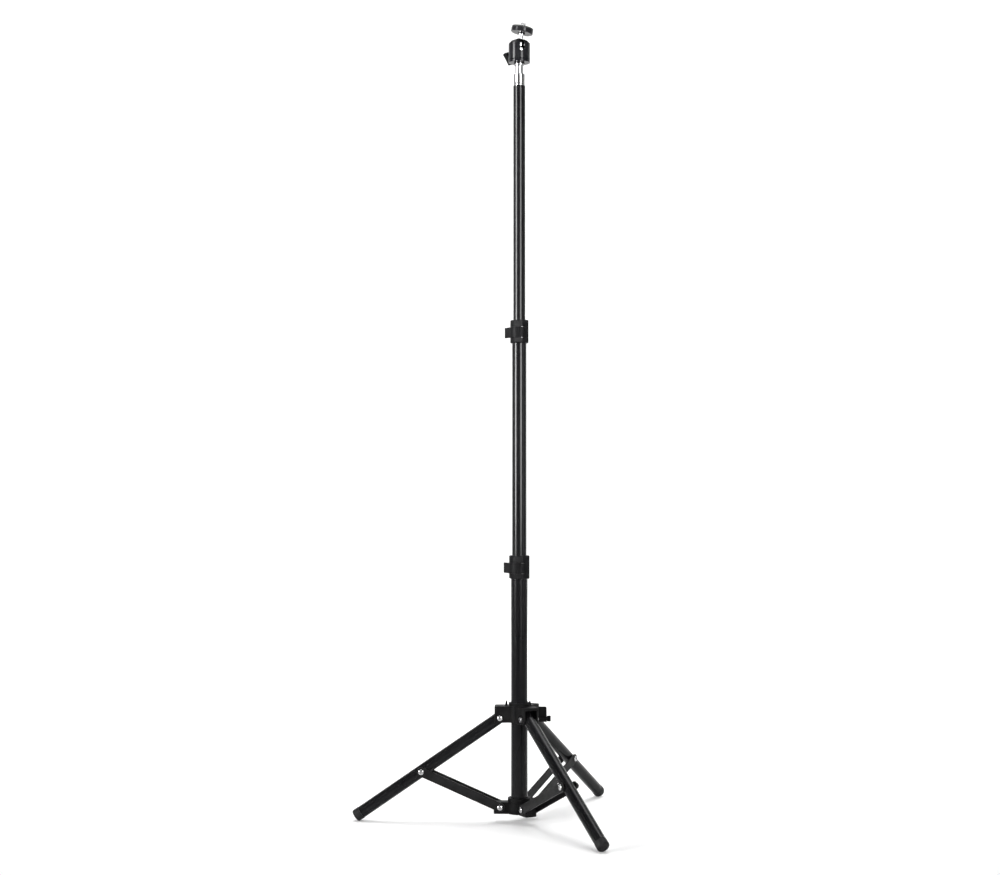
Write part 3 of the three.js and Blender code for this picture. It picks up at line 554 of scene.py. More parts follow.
LEG_R = 8 * MM
LEG_ABOVE_PIVOT = 7 * MM
LEG_SWING_GAP = 1 * MM
LEG_SLOT_HALF = LEG_R + 0.4 * MM
BAR_INNER = LEG_R + 0.6 * MM
BAR_OUTER = BAR_INNER + 2 * MM
LUG_CORNER = 2.5 * MM
LUG_ROOT = 1.7 * MM
CORNER_STEPS = 8
HUB_WALL = 4.7 * MM
SLOT_FLOOR_WALL = 2.1 * MM
UPPER_LUG_HALF = LEG_SLOT_HALF + 3.5 * MM
UPPER_LUG_PAST = 7.5 * MM
UPPER_ROOF = 3.6 * MM
UPPER_NECK = 4.2 * MM
UPPER_NECK_WALL = 2.7 * MM
LOWER_LUG_HALF = BAR_INNER - 0.3 * MM
LOWER_LUG_PAST = 8.5 * MM
LOWER_HEIGHT = 15.3 * MM
LOWER_NECK_WALL = 3.9 * MM
PIN_HOLE_R = 2.3 * MM
RECESS_R = 5.7 * MM
RECESS_DEPTH = 2.5 * MM
POST_WIDTH = 4 * MM
POST_TIP = 1.4 * MM
LEFT_POST_OUT = 6 * MM
RIGHT_POST_OUT = 3 * MM
RIB_REACH = 25.2 * MM
RIB_WIDTH = 5 * MM
RIB_DROP = 1.3 * MM
RIB_CORNER = 2 * MM
LOCK_BOSS_R = 4.4 * MM
BOSS_LIFT = 0.05 * MM
COLLAR_EASE = 0.45 * MM
LOCK_SCREW_R = 2.5 * MM
SET_SCREW_R = 2.5 * MM
SET_SCREW_HEIGHT = 7.6 * MM
LEGS = {"left": math.radians(180), "front": math.radians(-60), "back": math.radians(60)}

nylon = new_material("glass_filled_nylon", (0.0055, 0.0055, 0.0056), 0.5)
shader_of(nylon).inputs["Specular IOR Level"].default_value = 0.05
tint(nylon, noise(nylon, 90), (0.004, 0.004, 0.0042), (0.007, 0.007, 0.007))
vary(nylon, "Roughness", noise(nylon, 400), 0.42, 0.58)
roughen(nylon, noise(nylon, 1800, (1, 1, 1), 4), 0.00005, 0.5)

column_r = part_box("lower_tube")[1].x
collar_bore = column_r + FIT
hub_r = collar_bore + HUB_WALL
upper_pivot = Vector(record_joints["left_leg_hinge"]["pos_m"])
lower_pivot = Vector(record_joints["left_strut_hinge"]["pos_m"])
pivot_r = -upper_pivot.x


def turned_about_z(angle):
    return Matrix.Rotation(angle, 4, "Z")


def softened(shape, width):
    """Rounds every edge sharper than the facets of a curve."""
    edges = [e for e in shape.edges if e.calc_face_angle(0) > CREASE]
    bmesh.ops.bevel(
        shape,
        geom=edges,
        offset=width,
        segments=3,
        profile=0.5,
        affect="EDGES",
        material=-1,
    )
    return shape


def soft_drum(radius, low, high):
    """An upright cylinder with eased rims."""
    return spun(eased([(0, low), (radius, low), (radius, high), (0, high)], COLLAR_EASE))


def lug(reach, half, low, high):
    """A block that stands out from the column along +X, with round outer corners."""
    inner = reach - LUG_CORNER
    corner = [
        Vector((inner, half - LUG_CORNER)) + offset
        for offset in arc(LUG_CORNER, 0, math.pi / 2, CORNER_STEPS)
    ]
    upper_side = corner + [Vector((LUG_ROOT, half))]
    lower_side = [Vector((point.x, -point.y)) for point in reversed(upper_side)]
    return softened(prism(lower_side + upper_side, low, high), COLLAR_EASE)


def at_each_leg(make):
    """Makes one shape for each leg and turns it to that leg."""
    return [placed(make(), turned_about_z(azimuth)) for azimuth in LEGS.values()]


def across(shape, side=1):
    """Lays a shape made along Z across the leg, towards +Y (side 1) or -Y (side -1)."""
    return placed(shape, Matrix.Rotation(-side * math.pi / 2, 4, "X"))


def along_x(shape, height):
    """Lays a shape made along Z out along +X at a height."""
    return placed(shape, Matrix.Translation((0, 0, height)) @ Matrix.Rotation(math.pi / 2, 4, "Y"))


def cross_hole(half, height):
    """A cutter for the pin hole through a lug."""
    hole = across(drum(PIN_HOLE_R, -half - OVERLAP, half + OVERLAP, SMALL_STEPS))
    return placed(hole, Matrix.Translation((pivot_r, 0, height)))


def post(x, low, high):
    """A small tapered post on top of the collar."""
    taper = [
        Vector((-POST_WIDTH / 2, low)),
        Vector((POST_WIDTH / 2, low)),
        Vector((POST_TIP / 2, high)),
        Vector((-POST_TIP / 2, high)),
    ]
    upright = placed(
        prism(taper, -POST_WIDTH / 2, POST_WIDTH / 2), Matrix.Rotation(math.pi / 2, 4, "X")
    )
    return placed(upright, Matrix.Translation((x, 0, 0)))


low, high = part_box("upper_collar")
swing = math.hypot(LEG_ABOVE_PIVOT, LEG_R) + LEG_SWING_GAP
slot_top = upper_pivot.z + swing
collar_top = slot_top + UPPER_ROOF
rib_end = column_r + RIB_REACH
rib_top = collar_top - RIB_DROP
lock_height = low.z + LOCK_BOSS_R
rib_corner = [
    Vector((rib_end - RIB_CORNER, rib_top - RIB_CORNER)) + offset
    for offset in arc(RIB_CORNER, 0, math.pi / 2, CORNER_STEPS)
]
rib_side = [Vector((collar_bore, low.z)), Vector((rib_end, low.z))] + rib_corner
rib_side.append(Vector((collar_bore, rib_top)))
rib = placed(prism(rib_side, -RIB_WIDTH / 2, RIB_WIDTH / 2), Matrix.Rotation(math.pi / 2, 4, "X"))
upper_collar = joined(
    soft_drum(hub_r, low.z, collar_top),
    *at_each_leg(lambda: lug(pivot_r + UPPER_LUG_PAST, UPPER_LUG_HALF, low.z, collar_top)),
    soft_drum(collar_bore + UPPER_NECK_WALL, low.z + OVERLAP, collar_top + UPPER_NECK),
    softened(rib, COLLAR_EASE),
    along_x(soft_drum(LOCK_BOSS_R - BOSS_LIFT, collar_bore, rib_end), lock_height),
    post(-column_r - LEFT_POST_OUT, collar_top - OVERLAP, high.z),
    post(column_r + RIGHT_POST_OUT, rib_top - OVERLAP, high.z),
)
upper_collar = carved(
    upper_collar,
    drum(collar_bore, low.z - OVERLAP, high.z + OVERLAP, ROUND_STEPS),
    *at_each_leg(
        lambda: block(
            (collar_bore + SLOT_FLOOR_WALL, -LEG_SLOT_HALF, low.z - OVERLAP),
            (pivot_r + UPPER_LUG_PAST + OVERLAP, LEG_SLOT_HALF, slot_top),
        )
    ),
    *at_each_leg(lambda: cross_hole(UPPER_LUG_HALF, upper_pivot.z)),
    *at_each_leg(
        lambda: placed(
            across(drum(RECESS_R, UPPER_LUG_HALF - RECESS_DEPTH, UPPER_LUG_HALF + OVERLAP), -1),
            Matrix.Translation((pivot_r, 0, upper_pivot.z)),
        )
    ),
    along_x(drum(LOCK_SCREW_R + FIT, 0, rib_end + OVERLAP), lock_height),
)
finished(upper_collar, "upper_collar", "upper_collar", nylon)

low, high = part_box("lower_collar")
lower_collar = joined(
    soft_drum(hub_r, low.z, low.z + LOWER_HEIGHT),
    *at_each_leg(
        lambda: lug(pivot_r + LOWER_LUG_PAST, LOWER_LUG_HALF, low.z, low.z + LOWER_HEIGHT)
    ),
    soft_drum(collar_bore + LOWER_NECK_WALL, low.z + OVERLAP, high.z),
)
lower_collar = carved(
    lower_collar, drum(collar_bore, low.z - OVERLAP, high.z + OVERLAP, ROUND_STEPS)
)
lower_collar = carved(
    lower_collar,
    *at_each_leg(lambda: cross_hole(LOWER_LUG_HALF, lower_pivot.z)),
    along_x(drum(SET_SCREW_R + FIT, 0, hub_r + OVERLAP), SET_SCREW_HEIGHT),
)
finished(lower_collar, "lower_collar", "column", nylon)

# ---------------------------------------------------------------- Lock screw and set screw
# The lock screw is a moulded thumb screw whose fluted head stands out of the rib. The set screw is a
# plain socket screw that pins the lower collar to the column.

THUMB_SCREW_EASE = 0.35 * MM
FLUTED_EASE = 0.2 * MM
SET_SCREW_EASE = 0.4 * MM
FLUTES = 12
FLUTE_R = 0.55 * MM
SOCKET_R = 1.25 * MM
SOCKET_DEPTH = 1.6 * MM

low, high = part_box("collar_lock_screw")
head_r = high.y
head_start = rib_end + FIT
profile = eased(
    [
        (0, low.x),
        (LOCK_SCREW_R, low.x),
        (LOCK_SCREW_R, head_start),
        (head_r, head_start),
        (head_r, high.x),
        (0, high.x),
    ],
    THUMB_SCREW_EASE,
)
thumb_screw = spun(profile, steps=64)
flutes = [
    placed(
        drum(FLUTE_R, head_start - OVERLAP, high.x + OVERLAP, SMALL_STEPS // 2),
        turned_about_z(2 * math.pi * i / FLUTES) @ Matrix.Translation((head_r + FLUTE_R / 3, 0, 0)),
    )
    for i in range(FLUTES)
]
thumb_screw = along_x(carved(thumb_screw, *flutes), lock_height)
finished(
    thumb_screw, "collar_lock_screw", "collar_lock_screw", plastic, FLUTED_EASE
)

low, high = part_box("lower_collar_set_screw")
set_screw_side = [(0, low.x), (SET_SCREW_R, low.x), (SET_SCREW_R, high.x), (0, high.x)]
set_screw = carved(
    spun(eased(set_screw_side, SET_SCREW_EASE)),
    drum(SOCKET_R, high.x - SOCKET_DEPTH, high.x + OVERLAP, 6),
)
set_screw = along_x(set_screw, SET_SCREW_HEIGHT)
finished(set_screw, "lower_collar_set_screw", "column", steel)

# ---------------------------------------------------------------- Legs
# Enamelled tubes, drilled across for their two pivots, with a soft black cap pressed over each end
# that stands on the floor.

LEG_ANGLE = math.radians(55.5)
LEG_TO_STRUT = 126 * MM
LEG_LENGTH = 232.5 * MM
LEG_WALL = 1 * MM
FOOT_LENGTH = 10 * MM
FOOT_PLUG = 12 * MM
FOOT_PROUD = 0.2 * MM
FOOT_EASE = 2.5 * MM
FOOT_DISH = 0.5 * MM
FOOT_PLUG_EASE = 0.4 * MM
FOOT_STEPS = 10

soft_plastic = new_material("soft_black_cap", (0.0085, 0.0085, 0.009), 0.55)
shader_of(soft_plastic).inputs["Specular IOR Level"].default_value = 0.15
tint(soft_plastic, noise(soft_plastic, 120), (0.006, 0.006, 0.0065), (0.011, 0.011, 0.0115))
vary(soft_plastic, "Roughness", noise(soft_plastic, 300), 0.45, 0.62)
roughen(soft_plastic, noise(soft_plastic, 1500, (1, 1, 1), 5), 0.00006, 0.6)


def leg_place(azimuth):
    """The leg's own frame: Z runs down the leg from its pivot and Y across it."""
    return (
        turned_about_z(azimuth)
        @ Matrix.Translation((pivot_r, 0, upper_pivot.z))
        @ Matrix.Rotation(math.pi - LEG_ANGLE, 4, "Y")
    )


tube_end = LEG_LENGTH - FOOT_LENGTH
bore = LEG_R - LEG_WALL
foot_r = LEG_R + FOOT_PROUD
leg_profile = [
    (bore, -LEG_ABOVE_PIVOT),
    (LEG_R, -LEG_ABOVE_PIVOT),
    (LEG_R, tube_end),
    (bore, tube_end),
]
for side, azimuth in LEGS.items():
    pin_holes = (
        placed(
            across(drum(PIN_HOLE_R, -LEG_R - OVERLAP, LEG_R + OVERLAP, SMALL_STEPS)),
            Matrix.Translation((0, 0, z)),
        )
        for z in (0, LEG_TO_STRUT)
    )
    leg = carved(spun(eased(leg_profile, LIP_EASE, True), True), *pin_holes)
    finished(
        placed(leg, leg_place(azimuth)), side + "_leg", side + "_leg", enamel
    )
    cap = [
        Vector((0, tube_end - FOOT_PLUG)),
        Vector((bore - FIT, tube_end - FOOT_PLUG)),
        Vector((bore - FIT, tube_end + FIT)),
        Vector((foot_r, tube_end + FIT)),
    ]
    rounded = [
        Vector((foot_r - FOOT_EASE, LEG_LENGTH - FOOT_EASE)) + offset
        for offset in arc(FOOT_EASE, 0, math.pi / 2, FOOT_STEPS)
    ]
    dish = [
        Vector((foot_r / 2, LEG_LENGTH)),
        Vector((foot_r / 2 - FOOT_DISH, LEG_LENGTH - FOOT_DISH)),
        Vector((0, LEG_LENGTH - FOOT_DISH)),
    ]
    cap = eased(cap, FOOT_PLUG_EASE) + rounded + dish
    finished(
        placed(spun(cap), leg_place(azimuth)),
        side + "_foot",
        side + "_leg",
        soft_plastic,
    )

# ---------------------------------------------------------------- Struts
# Pairs of flat steel bars, blanked with round ends and painted satin black, one on each side of a
# leg. They hinge on the lower collar and hold the legs open.

BAR_HALF_WIDTH = 6 * MM
BAR_EASE = 0.3 * MM
BAR_END_STEPS = 24

bar_paint = new_material("satin_black_paint", (0.007, 0.007, 0.007), 0.38)
shader_of(bar_paint).inputs["Specular IOR Level"].default_value = 0.12
tint(bar_paint, noise(bar_paint, 80), (0.005, 0.005, 0.005), (0.009, 0.009, 0.0092))
vary(bar_paint, "Roughness", noise(bar_paint, 500), 0.32, 0.46)
roughen(bar_paint, noise(bar_paint, 1200), 0.00002, 0.4)

leg_pin = Vector(
    (
        pivot_r + LEG_TO_STRUT * math.sin(LEG_ANGLE),
        0,
        upper_pivot.z - LEG_TO_STRUT * math.cos(LEG_ANGLE),
    )
)
strut_run = leg_pin - Vector((pivot_r, 0, lower_pivot.z))
strut_length = strut_run.length
strut_angle = math.atan2(strut_run.x, strut_run.z)


def strut_place(azimuth):
    """The strut's own frame: Z runs out along the strut from its lower pivot and Y across it."""
    return (
        turned_about_z(azimuth)
        @ Matrix.Translation((pivot_r, 0, lower_pivot.z))
        @ Matrix.Rotation(strut_angle, 4, "Y")
    )


def strut_bar(side):
    """One bar in the strut's own frame, on the +Y side (side 1) or the -Y side (side -1)."""
    lower_end = arc(BAR_HALF_WIDTH, math.pi, 2 * math.pi, BAR_END_STEPS)
    upper_end = [
        point + Vector((0, strut_length)) for point in arc(BAR_HALF_WIDTH, 0, math.pi, BAR_END_STEPS)
    ]
    bar = prism(lower_end + upper_end, 0, BAR_OUTER - BAR_INNER)
    shift = BAR_OUTER if side > 0 else -BAR_INNER
    bar = placed(bar, Matrix.Translation((0, shift, 0)) @ Matrix.Rotation(math.pi / 2, 4, "X"))
    holes = (
        placed(
            across(drum(PIN_HOLE_R, BAR_INNER - OVERLAP, BAR_OUTER + OVERLAP, SMALL_STEPS), side),
            Matrix.Translation((0, 0, z)),
        )
        for z in (0, strut_length)
    )
    return carved(bar, *holes)


for side, azimuth in LEGS.items():
    for letter, hand in (("a", 1), ("b", -1)):
        node = side + "_strut_bar_" + letter
        bar = placed(strut_bar(hand), strut_place(azimuth))
        finished(bar, node, side + "_strut", bar_paint, BAR_EASE)

# ---------------------------------------------------------------- Pivot screws and nuts
# Chromed cross-head screws with domed heads, each locked by a nut with a collar. The struts' nuts are
# blackened, the legs' are plain and sunk in the lugs, and a strut's pin is a short stud in each bar.

SCREW_R = 2 * MM
HEAD_R = 3.8 * MM
HEAD_HEIGHT = 2.4 * MM
HEAD_SEAT = 0.2 * MM
NUT_FLAT_R = 3.5 * MM
NUT_HEIGHT = 3.4 * MM
NUT_COLLAR_R = 2.95 * MM
NUT_COLLAR = 0.7 * MM
TIP = 0.7 * MM
CROSS_LENGTH = 4.2 * MM
CROSS_WIDTH = 0.95 * MM
CROSS_DEPTH = 1.5 * MM
DOME_STEPS = 14
SCREW_EASE = 0.25 * MM
SCREW_STEPS = 48
NUT_CHAMFER = 0.35 * MM
NUT_EDGE = 0.05 * MM
CROSS_TAPER = (0.4, 0.6, 1)

chrome = new_material("bright_chrome", (0.5, 0.5, 0.5), 0.1, 1.0)
vary(chrome, "Roughness", noise(chrome, 700), 0.06, 0.16)
tint(chrome, noise(chrome, 150), (0.42, 0.42, 0.425), (0.54, 0.54, 0.54))

black_zinc = new_material("blackened_steel", (0.02, 0.02, 0.02), 0.35, 0.7)
tint(black_zinc, noise(black_zinc, 300), (0.015, 0.015, 0.015), (0.035, 0.034, 0.033))
vary(black_zinc, "Roughness", noise(black_zinc, 900), 0.28, 0.45)


def cross_head(shank):
    """A domed cross-head screw: its head's underside is at 0 and its shank runs down."""
    dome = [
        Vector((HEAD_R * math.cos(a), HEAD_HEIGHT / 3 + HEAD_HEIGHT * 2 / 3 * math.sin(a)))
        for a in (math.pi / 2 * i / DOME_STEPS for i in range(DOME_STEPS + 1))
    ]
    shank_profile = eased(
        [(0, -shank), (SCREW_R, -shank), (SCREW_R, 0), (HEAD_R, 0), (HEAD_R, HEAD_HEIGHT / 3)],
        SCREW_EASE,
    )
    screw = spun(shank_profile[:-1] + dome, steps=SCREW_STEPS)
    slots = []
    for turn in (0, math.pi / 2):
        slot = block(
            (-CROSS_LENGTH / 2, -CROSS_WIDTH / 2, HEAD_HEIGHT - CROSS_DEPTH),
            (CROSS_LENGTH / 2, CROSS_WIDTH / 2, HEAD_HEIGHT + OVERLAP),
        )
        floor = [v for v in slot.verts if v.co.z < HEAD_HEIGHT]
        bmesh.ops.scale(slot, vec=CROSS_TAPER, verts=floor)
        slots.append(placed(slot, turned_about_z(turn)))
    return carved(screw, *slots)


def lock_nut(seat, hole=True, tip=0.0):
    """A collared lock nut that lies on a seat, with a through hole or with its own stud."""
    top = seat + NUT_HEIGHT
    corner_r = NUT_FLAT_R / math.cos(math.pi / 6)
    chamfer = spun(
        [
            (0, seat),
            (NUT_FLAT_R + 2 * NUT_EDGE, seat),
            (corner_r + NUT_EDGE, seat + NUT_CHAMFER),
            (corner_r + NUT_EDGE, top - NUT_COLLAR - NUT_CHAMFER),
            (NUT_FLAT_R + NUT_EDGE, top - NUT_COLLAR),
            (0, top - NUT_COLLAR),
        ],
        steps=SCREW_STEPS,
    )
    nut = worked("INTERSECT", drum(corner_r, seat, top - NUT_COLLAR, 6), chamfer)
    root = seat + OVERLAP
    collar_side = [(0, root), (NUT_COLLAR_R, root), (NUT_COLLAR_R, top), (0, top)]
    nut = joined(nut, spun(eased(collar_side, NUT_CHAMFER), steps=SCREW_STEPS))
    if hole:
        return carved(nut, drum(PIN_HOLE_R, seat - OVERLAP, top + OVERLAP, SMALL_STEPS))
    end = top + tip
    stud_side = [(0, BAR_INNER), (SCREW_R, BAR_INNER), (SCREW_R, end), (0, end)]
    return joined(nut, spun(eased(stud_side, PIN_EASE), steps=SMALL_STEPS))


def pivot_place(azimuth, height):
    """The place on a leg's hinge axis, turned to that leg."""
    return turned_about_z(azimuth) @ Matrix.Translation((pivot_r, 0, height))


head_seat = BAR_OUTER + HEAD_SEAT
nut_seat = BAR_OUTER + FIT
upper_seat = UPPER_LUG_HALF + HEAD_SEAT
recess_seat = UPPER_LUG_HALF - RECESS_DEPTH + FIT
STRUT_HEAD_SIDES = {"left": 1, "front": -1, "back": -1}

for side, azimuth in LEGS.items():
    hand = STRUT_HEAD_SIDES[side]
    strut = side + "_strut"
    pin_place = strut_place(azimuth) @ Matrix.Translation((0, 0, strut_length))
    upper_place = pivot_place(azimuth, upper_pivot.z)
    lower_place = pivot_place(azimuth, lower_pivot.z)
    up = Matrix.Translation((0, 0, head_seat))

    pin_head = across(placed(cross_head(head_seat - BAR_INNER), up), hand)
    finished(placed(pin_head, pin_place), strut + "_pin_head", strut, chrome)
    pin_nut = across(lock_nut(nut_seat, False, TIP), -hand)
    finished(placed(pin_nut, pin_place), strut + "_pin_nut", strut, black_zinc)

    lower_screw = placed(cross_head(head_seat + nut_seat + NUT_HEIGHT + TIP), up)
    lower_screw = placed(across(lower_screw, hand), lower_place)
    finished(lower_screw, strut + "_screw", "column", chrome)
    lower_nut = placed(across(lock_nut(nut_seat), -hand), lower_place)
    finished(lower_nut, strut + "_nut", "column", black_zinc)

    leg_screw = cross_head(upper_seat + recess_seat + NUT_HEIGHT)
    leg_screw = across(placed(leg_screw, Matrix.Translation((0, 0, upper_seat))), 1)
    finished(
        placed(leg_screw, upper_place), side + "_leg_screw", "upper_collar", chrome
    )
    leg_nut = placed(across(lock_nut(recess_seat), -1), upper_place)
    finished(leg_nut, side + "_leg_nut", "upper_collar", steel)

# ---------------------------------------------------------------- Top stud
# A turned and chromed steel stud, pressed into the upper tube. Its upper end carries the thread that
# the ball head is screwed on.

STUD_PLUG_TOP = 0.3 * MM
STUD_FOOT = 15.4 * MM
STUD_GROOVE = 0.5 * MM
STUD_GROOVE_UP = 2.8 * MM
STUD_NECK_R = 5.2 * MM
STUD_NECK = 11.5 * MM
STUD_HEAD_R = 7 * MM
STUD_HEAD = 3.6 * MM
THREAD_R = 3 * MM
STUD_EASE = 0.35 * MM

polished = new_material("turned_chrome", (0.3, 0.3, 0.3), 0.09, 1.0)
vary(polished, "Roughness", noise(polished, 300, (0.05, 0.05, 12), 4), 0.06, 0.12)
roughen(polished, noise(polished, 300, (0.02, 0.02, 20), 2), 0.00001, 0.2)
tint(polished, noise(polished, 120), (0.27, 0.27, 0.275), (0.33, 0.33, 0.33))

low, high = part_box("top_stud")
tube_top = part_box("upper_tube")[1].z
foot_r = high.x
plug_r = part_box("upper_tube")[1].x - TUBE_WALL - FIT
foot_z = tube_top + STUD_PLUG_TOP
groove_z = foot_z + STUD_GROOVE_UP
foot_top = foot_z + STUD_FOOT
head_z = foot_top + STUD_NECK
stud_profile = [
    (0, low.z),
    (plug_r, low.z),
    (plug_r, foot_z),
    (foot_r, foot_z),
    (foot_r, groove_z - STUD_GROOVE),
    (foot_r - STUD_GROOVE, groove_z),
    (foot_r, groove_z + STUD_GROOVE),
    (foot_r, foot_top),
    (STUD_NECK_R, foot_top),
    (STUD_NECK_R, head_z),
    (STUD_HEAD_R, head_z),
    (STUD_HEAD_R, head_z + STUD_HEAD),
    (THREAD_R, head_z + STUD_HEAD),
    (THREAD_R, high.z),
    (0, high.z),
]
stud = spun(eased(stud_profile, STUD_EASE))
finished(stud, "top_stud", "upper_section", polished)

# ---------------------------------------------------------------- Ball head housing
# Turned from aluminium and finished gloss black: a base ring and a cup with a chamfered rim, split by
# a drop notch at its front right and drilled for the lock screw at its back left.

HEAD_WALL = 4.1 * MM
HEAD_CHAMFER_IN = 3.1 * MM
HEAD_CHAMFER_UP = 3.2 * MM
RIM_WIDTH = 0.9 * MM
SEAT_RISE = 5.5 * MM
BALL_R = 9 * MM
BALL_FIT = 0.3 * MM
BORE_GAP = 1.2 * MM
BALL_TO_SHOULDER = 1.8 * MM
NOTCH_ANGLE = math.radians(-72)
NOTCH_HALF = 3.3 * MM
NOTCH_DEPTH = 12.1 * MM
KNOB_HOLE_R = 2.8 * MM
KNOB_SCREW_TIP = 2 * MM
BASE_RING = 3.6 * MM
BASE_EASE = 0.45 * MM
SHELL_EASE = 0.4 * MM
MOUTH_EASE = 0.2 * MM
SEAT_STEPS = 12
HEAD_STEPS = 128

gloss = new_material("gloss_black_anodising", (0.006, 0.006, 0.007), 0.14)
shader_of(gloss).inputs["Specular IOR Level"].default_value = 0.1
vary(gloss, "Roughness", noise(gloss, 400, (0.1, 0.1, 8), 4), 0.1, 0.22)
tint(gloss, noise(gloss, 90), (0.005, 0.005, 0.006), (0.009, 0.009, 0.010))
roughen(gloss, noise(gloss, 300, (0.02, 0.02, 16), 2), 0.00001, 0.15)

low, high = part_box("head_housing")
base_low, base_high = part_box("head_base")
ball_centre = Vector(record_joints["head_pan"]["pos_m"])
knob_axis = Vector(record_joints["head_knob_turn"]["axis"])
knob_centre = Vector(record_joints["head_knob_turn"]["pos_m"])
knob_turn = math.atan2(knob_axis.y, knob_axis.x)
seat_r = BALL_R + BALL_FIT
bore = BALL_R + BORE_GAP
head_r = bore + HEAD_WALL
shoulder = ball_centre.z + BALL_TO_SHOULDER
seat_edge = math.asin(SEAT_RISE / seat_r)
outside = [
    (bore, low.z),
    (head_r, low.z),
    (head_r, shoulder),
    (head_r - HEAD_CHAMFER_IN, shoulder + HEAD_CHAMFER_UP),
    (seat_r * math.cos(seat_edge) + RIM_WIDTH, high.z),
    (seat_r * math.cos(seat_edge), ball_centre.z + SEAT_RISE),
]
seat = [
    Vector((0, ball_centre.z)) + offset for offset in arc(seat_r, seat_edge, 0, SEAT_STEPS)
][1:]
shell = eased(outside, SHELL_EASE) + seat + [Vector((bore, ball_centre.z - BALL_FIT))]
notch_floor = shoulder - NOTCH_DEPTH + NOTCH_HALF
notch_end = (head_r + OVERLAP, NOTCH_HALF, high.z + OVERLAP)
at_notch = turned_about_z(NOTCH_ANGLE)


def along_knob(shape):
    """Lays a shape made along Z out along the lock knob's axis."""
    return placed(along_x(shape, knob_centre.z), turned_about_z(knob_turn))


housing = carved(
    spun(shell, True, HEAD_STEPS),
    placed(along_x(drum(NOTCH_HALF, BALL_R / 2, head_r + OVERLAP), notch_floor), at_notch),
    placed(block((BALL_R / 2, -NOTCH_HALF, notch_floor), notch_end), at_notch),
    along_knob(drum(KNOB_HOLE_R, KNOB_SCREW_TIP, head_r + OVERLAP)),
)
finished(housing, "head_housing", "upper_section", gloss, MOUTH_EASE)

hole = THREAD_R + FIT
spigot = bore - FIT
base_top = base_low.z + BASE_RING
base_profile = [
    (hole, base_low.z),
    (head_r, base_low.z),
    (head_r, base_top),
    (spigot, base_top),
    (spigot, base_high.z),
    (hole, base_high.z),
]
base_ring = spun(eased(base_profile, BASE_EASE, True), True, HEAD_STEPS)
finished(base_ring, "head_base", "upper_section", gloss)

# ---------------------------------------------------------------- Ball, stem and cup
# The ball and its stem are one turned and polished piece, with a flange under the platform. A plain
# steel cup lies under the ball and is pressed up against it by the lock screw.

STEM_R = 2.9 * MM
FLANGE_R = 4.5 * MM
FLANGE = 2.1 * MM
PLATFORM_BELOW = 16.2 * MM
CUP_DROP = 5.6 * MM
CUP_LIP = 1 * MM
CUP_EASE = 0.3 * MM
CUP_STEPS = 16
STEM_EASE = 0.4 * MM
BALL_STEPS = 40

lean = Vector(record_joints["platform_turn"]["axis"])
upright_place = Matrix.Translation(ball_centre) @ lean.to_track_quat("Z", "Y").to_matrix().to_4x4()
join = math.acos(STEM_R / BALL_R)
stem_top = PLATFORM_BELOW - FIT
ball_profile = arc(BALL_R, -math.pi / 2, join, BALL_STEPS) + eased(
    [
        (STEM_R, BALL_R * math.sin(join)),
        (STEM_R, stem_top - FLANGE),
        (FLANGE_R, stem_top - FLANGE),
        (FLANGE_R, stem_top),
        (0, stem_top),
    ],
    STEM_EASE,
)[1:]
ball_profile[0].x = 0
ball = placed(spun(ball_profile), upright_place)
finished(ball, "ball_stem", "ball_stem", polished)

low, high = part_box("ball_cup")
cup_edge = -math.asin(CUP_DROP / seat_r)
cup_side = [(0, low.z), (high.x, low.z), (high.x, high.z), (high.x - CUP_LIP, high.z)]
hollow = [
    Vector((0, ball_centre.z)) + offset
    for offset in arc(seat_r, cup_edge, -math.pi / 2, CUP_STEPS)
]
hollow[-1].x = 0
finished(spun(eased(cup_side, CUP_EASE) + hollow), "ball_cup", "ball_cup", steel)

# ---------------------------------------------------------------- Camera platform
# A black turned disc on the stem, faced with a thin ribbed rubber pad. A short threaded screw stands
# from its middle for the camera.

PLATFORM_HEIGHT = 5.5 * MM
PLATFORM_R = 14.7 * MM
PLATFORM_CHAMFER = 0.8 * MM
PAD_R = 14.3 * MM
PAD = 1.8 * MM
PAD_RIBS = 5
PAD_GROOVE = 0.35 * MM
PAD_GROOVE_SLOPE = 0.15 * MM
PLATFORM_EASE = 0.3 * MM
CAMERA_SCREW_R = 3.1 * MM
CAMERA_SCREW = 6 * MM
SCREW_SINK = 2 * MM
PITCH = 1.27 * MM
THREAD_DEPTH = 0.45 * MM
THREAD_STEPS = 48

platform_top = PLATFORM_BELOW + PLATFORM_HEIGHT
screw_hole = CAMERA_SCREW_R + FIT
screw_low = PLATFORM_BELOW + SCREW_SINK
platform_profile = eased(
    [
        (0, PLATFORM_BELOW),
        (PLATFORM_R - PLATFORM_CHAMFER, PLATFORM_BELOW),
        (PLATFORM_R, PLATFORM_BELOW + PLATFORM_CHAMFER),
        (PLATFORM_R, platform_top),
        (screw_hole, platform_top),
        (screw_hole, screw_low - FIT),
        (0, screw_low - FIT),
    ],
    PLATFORM_EASE,
)
platform = placed(spun(platform_profile, steps=HEAD_STEPS), upright_place)
finished(platform, "camera_platform", "platform", gloss)

rubber = new_material("ribbed_rubber", (0.012, 0.012, 0.012), 0.75)
tint(rubber, noise(rubber, 200), (0.009, 0.009, 0.009), (0.017, 0.017, 0.017))
vary(rubber, "Roughness", noise(rubber, 500), 0.68, 0.85)
roughen(rubber, noise(rubber, 2500, (1, 1, 1), 5), 0.00006, 0.7)

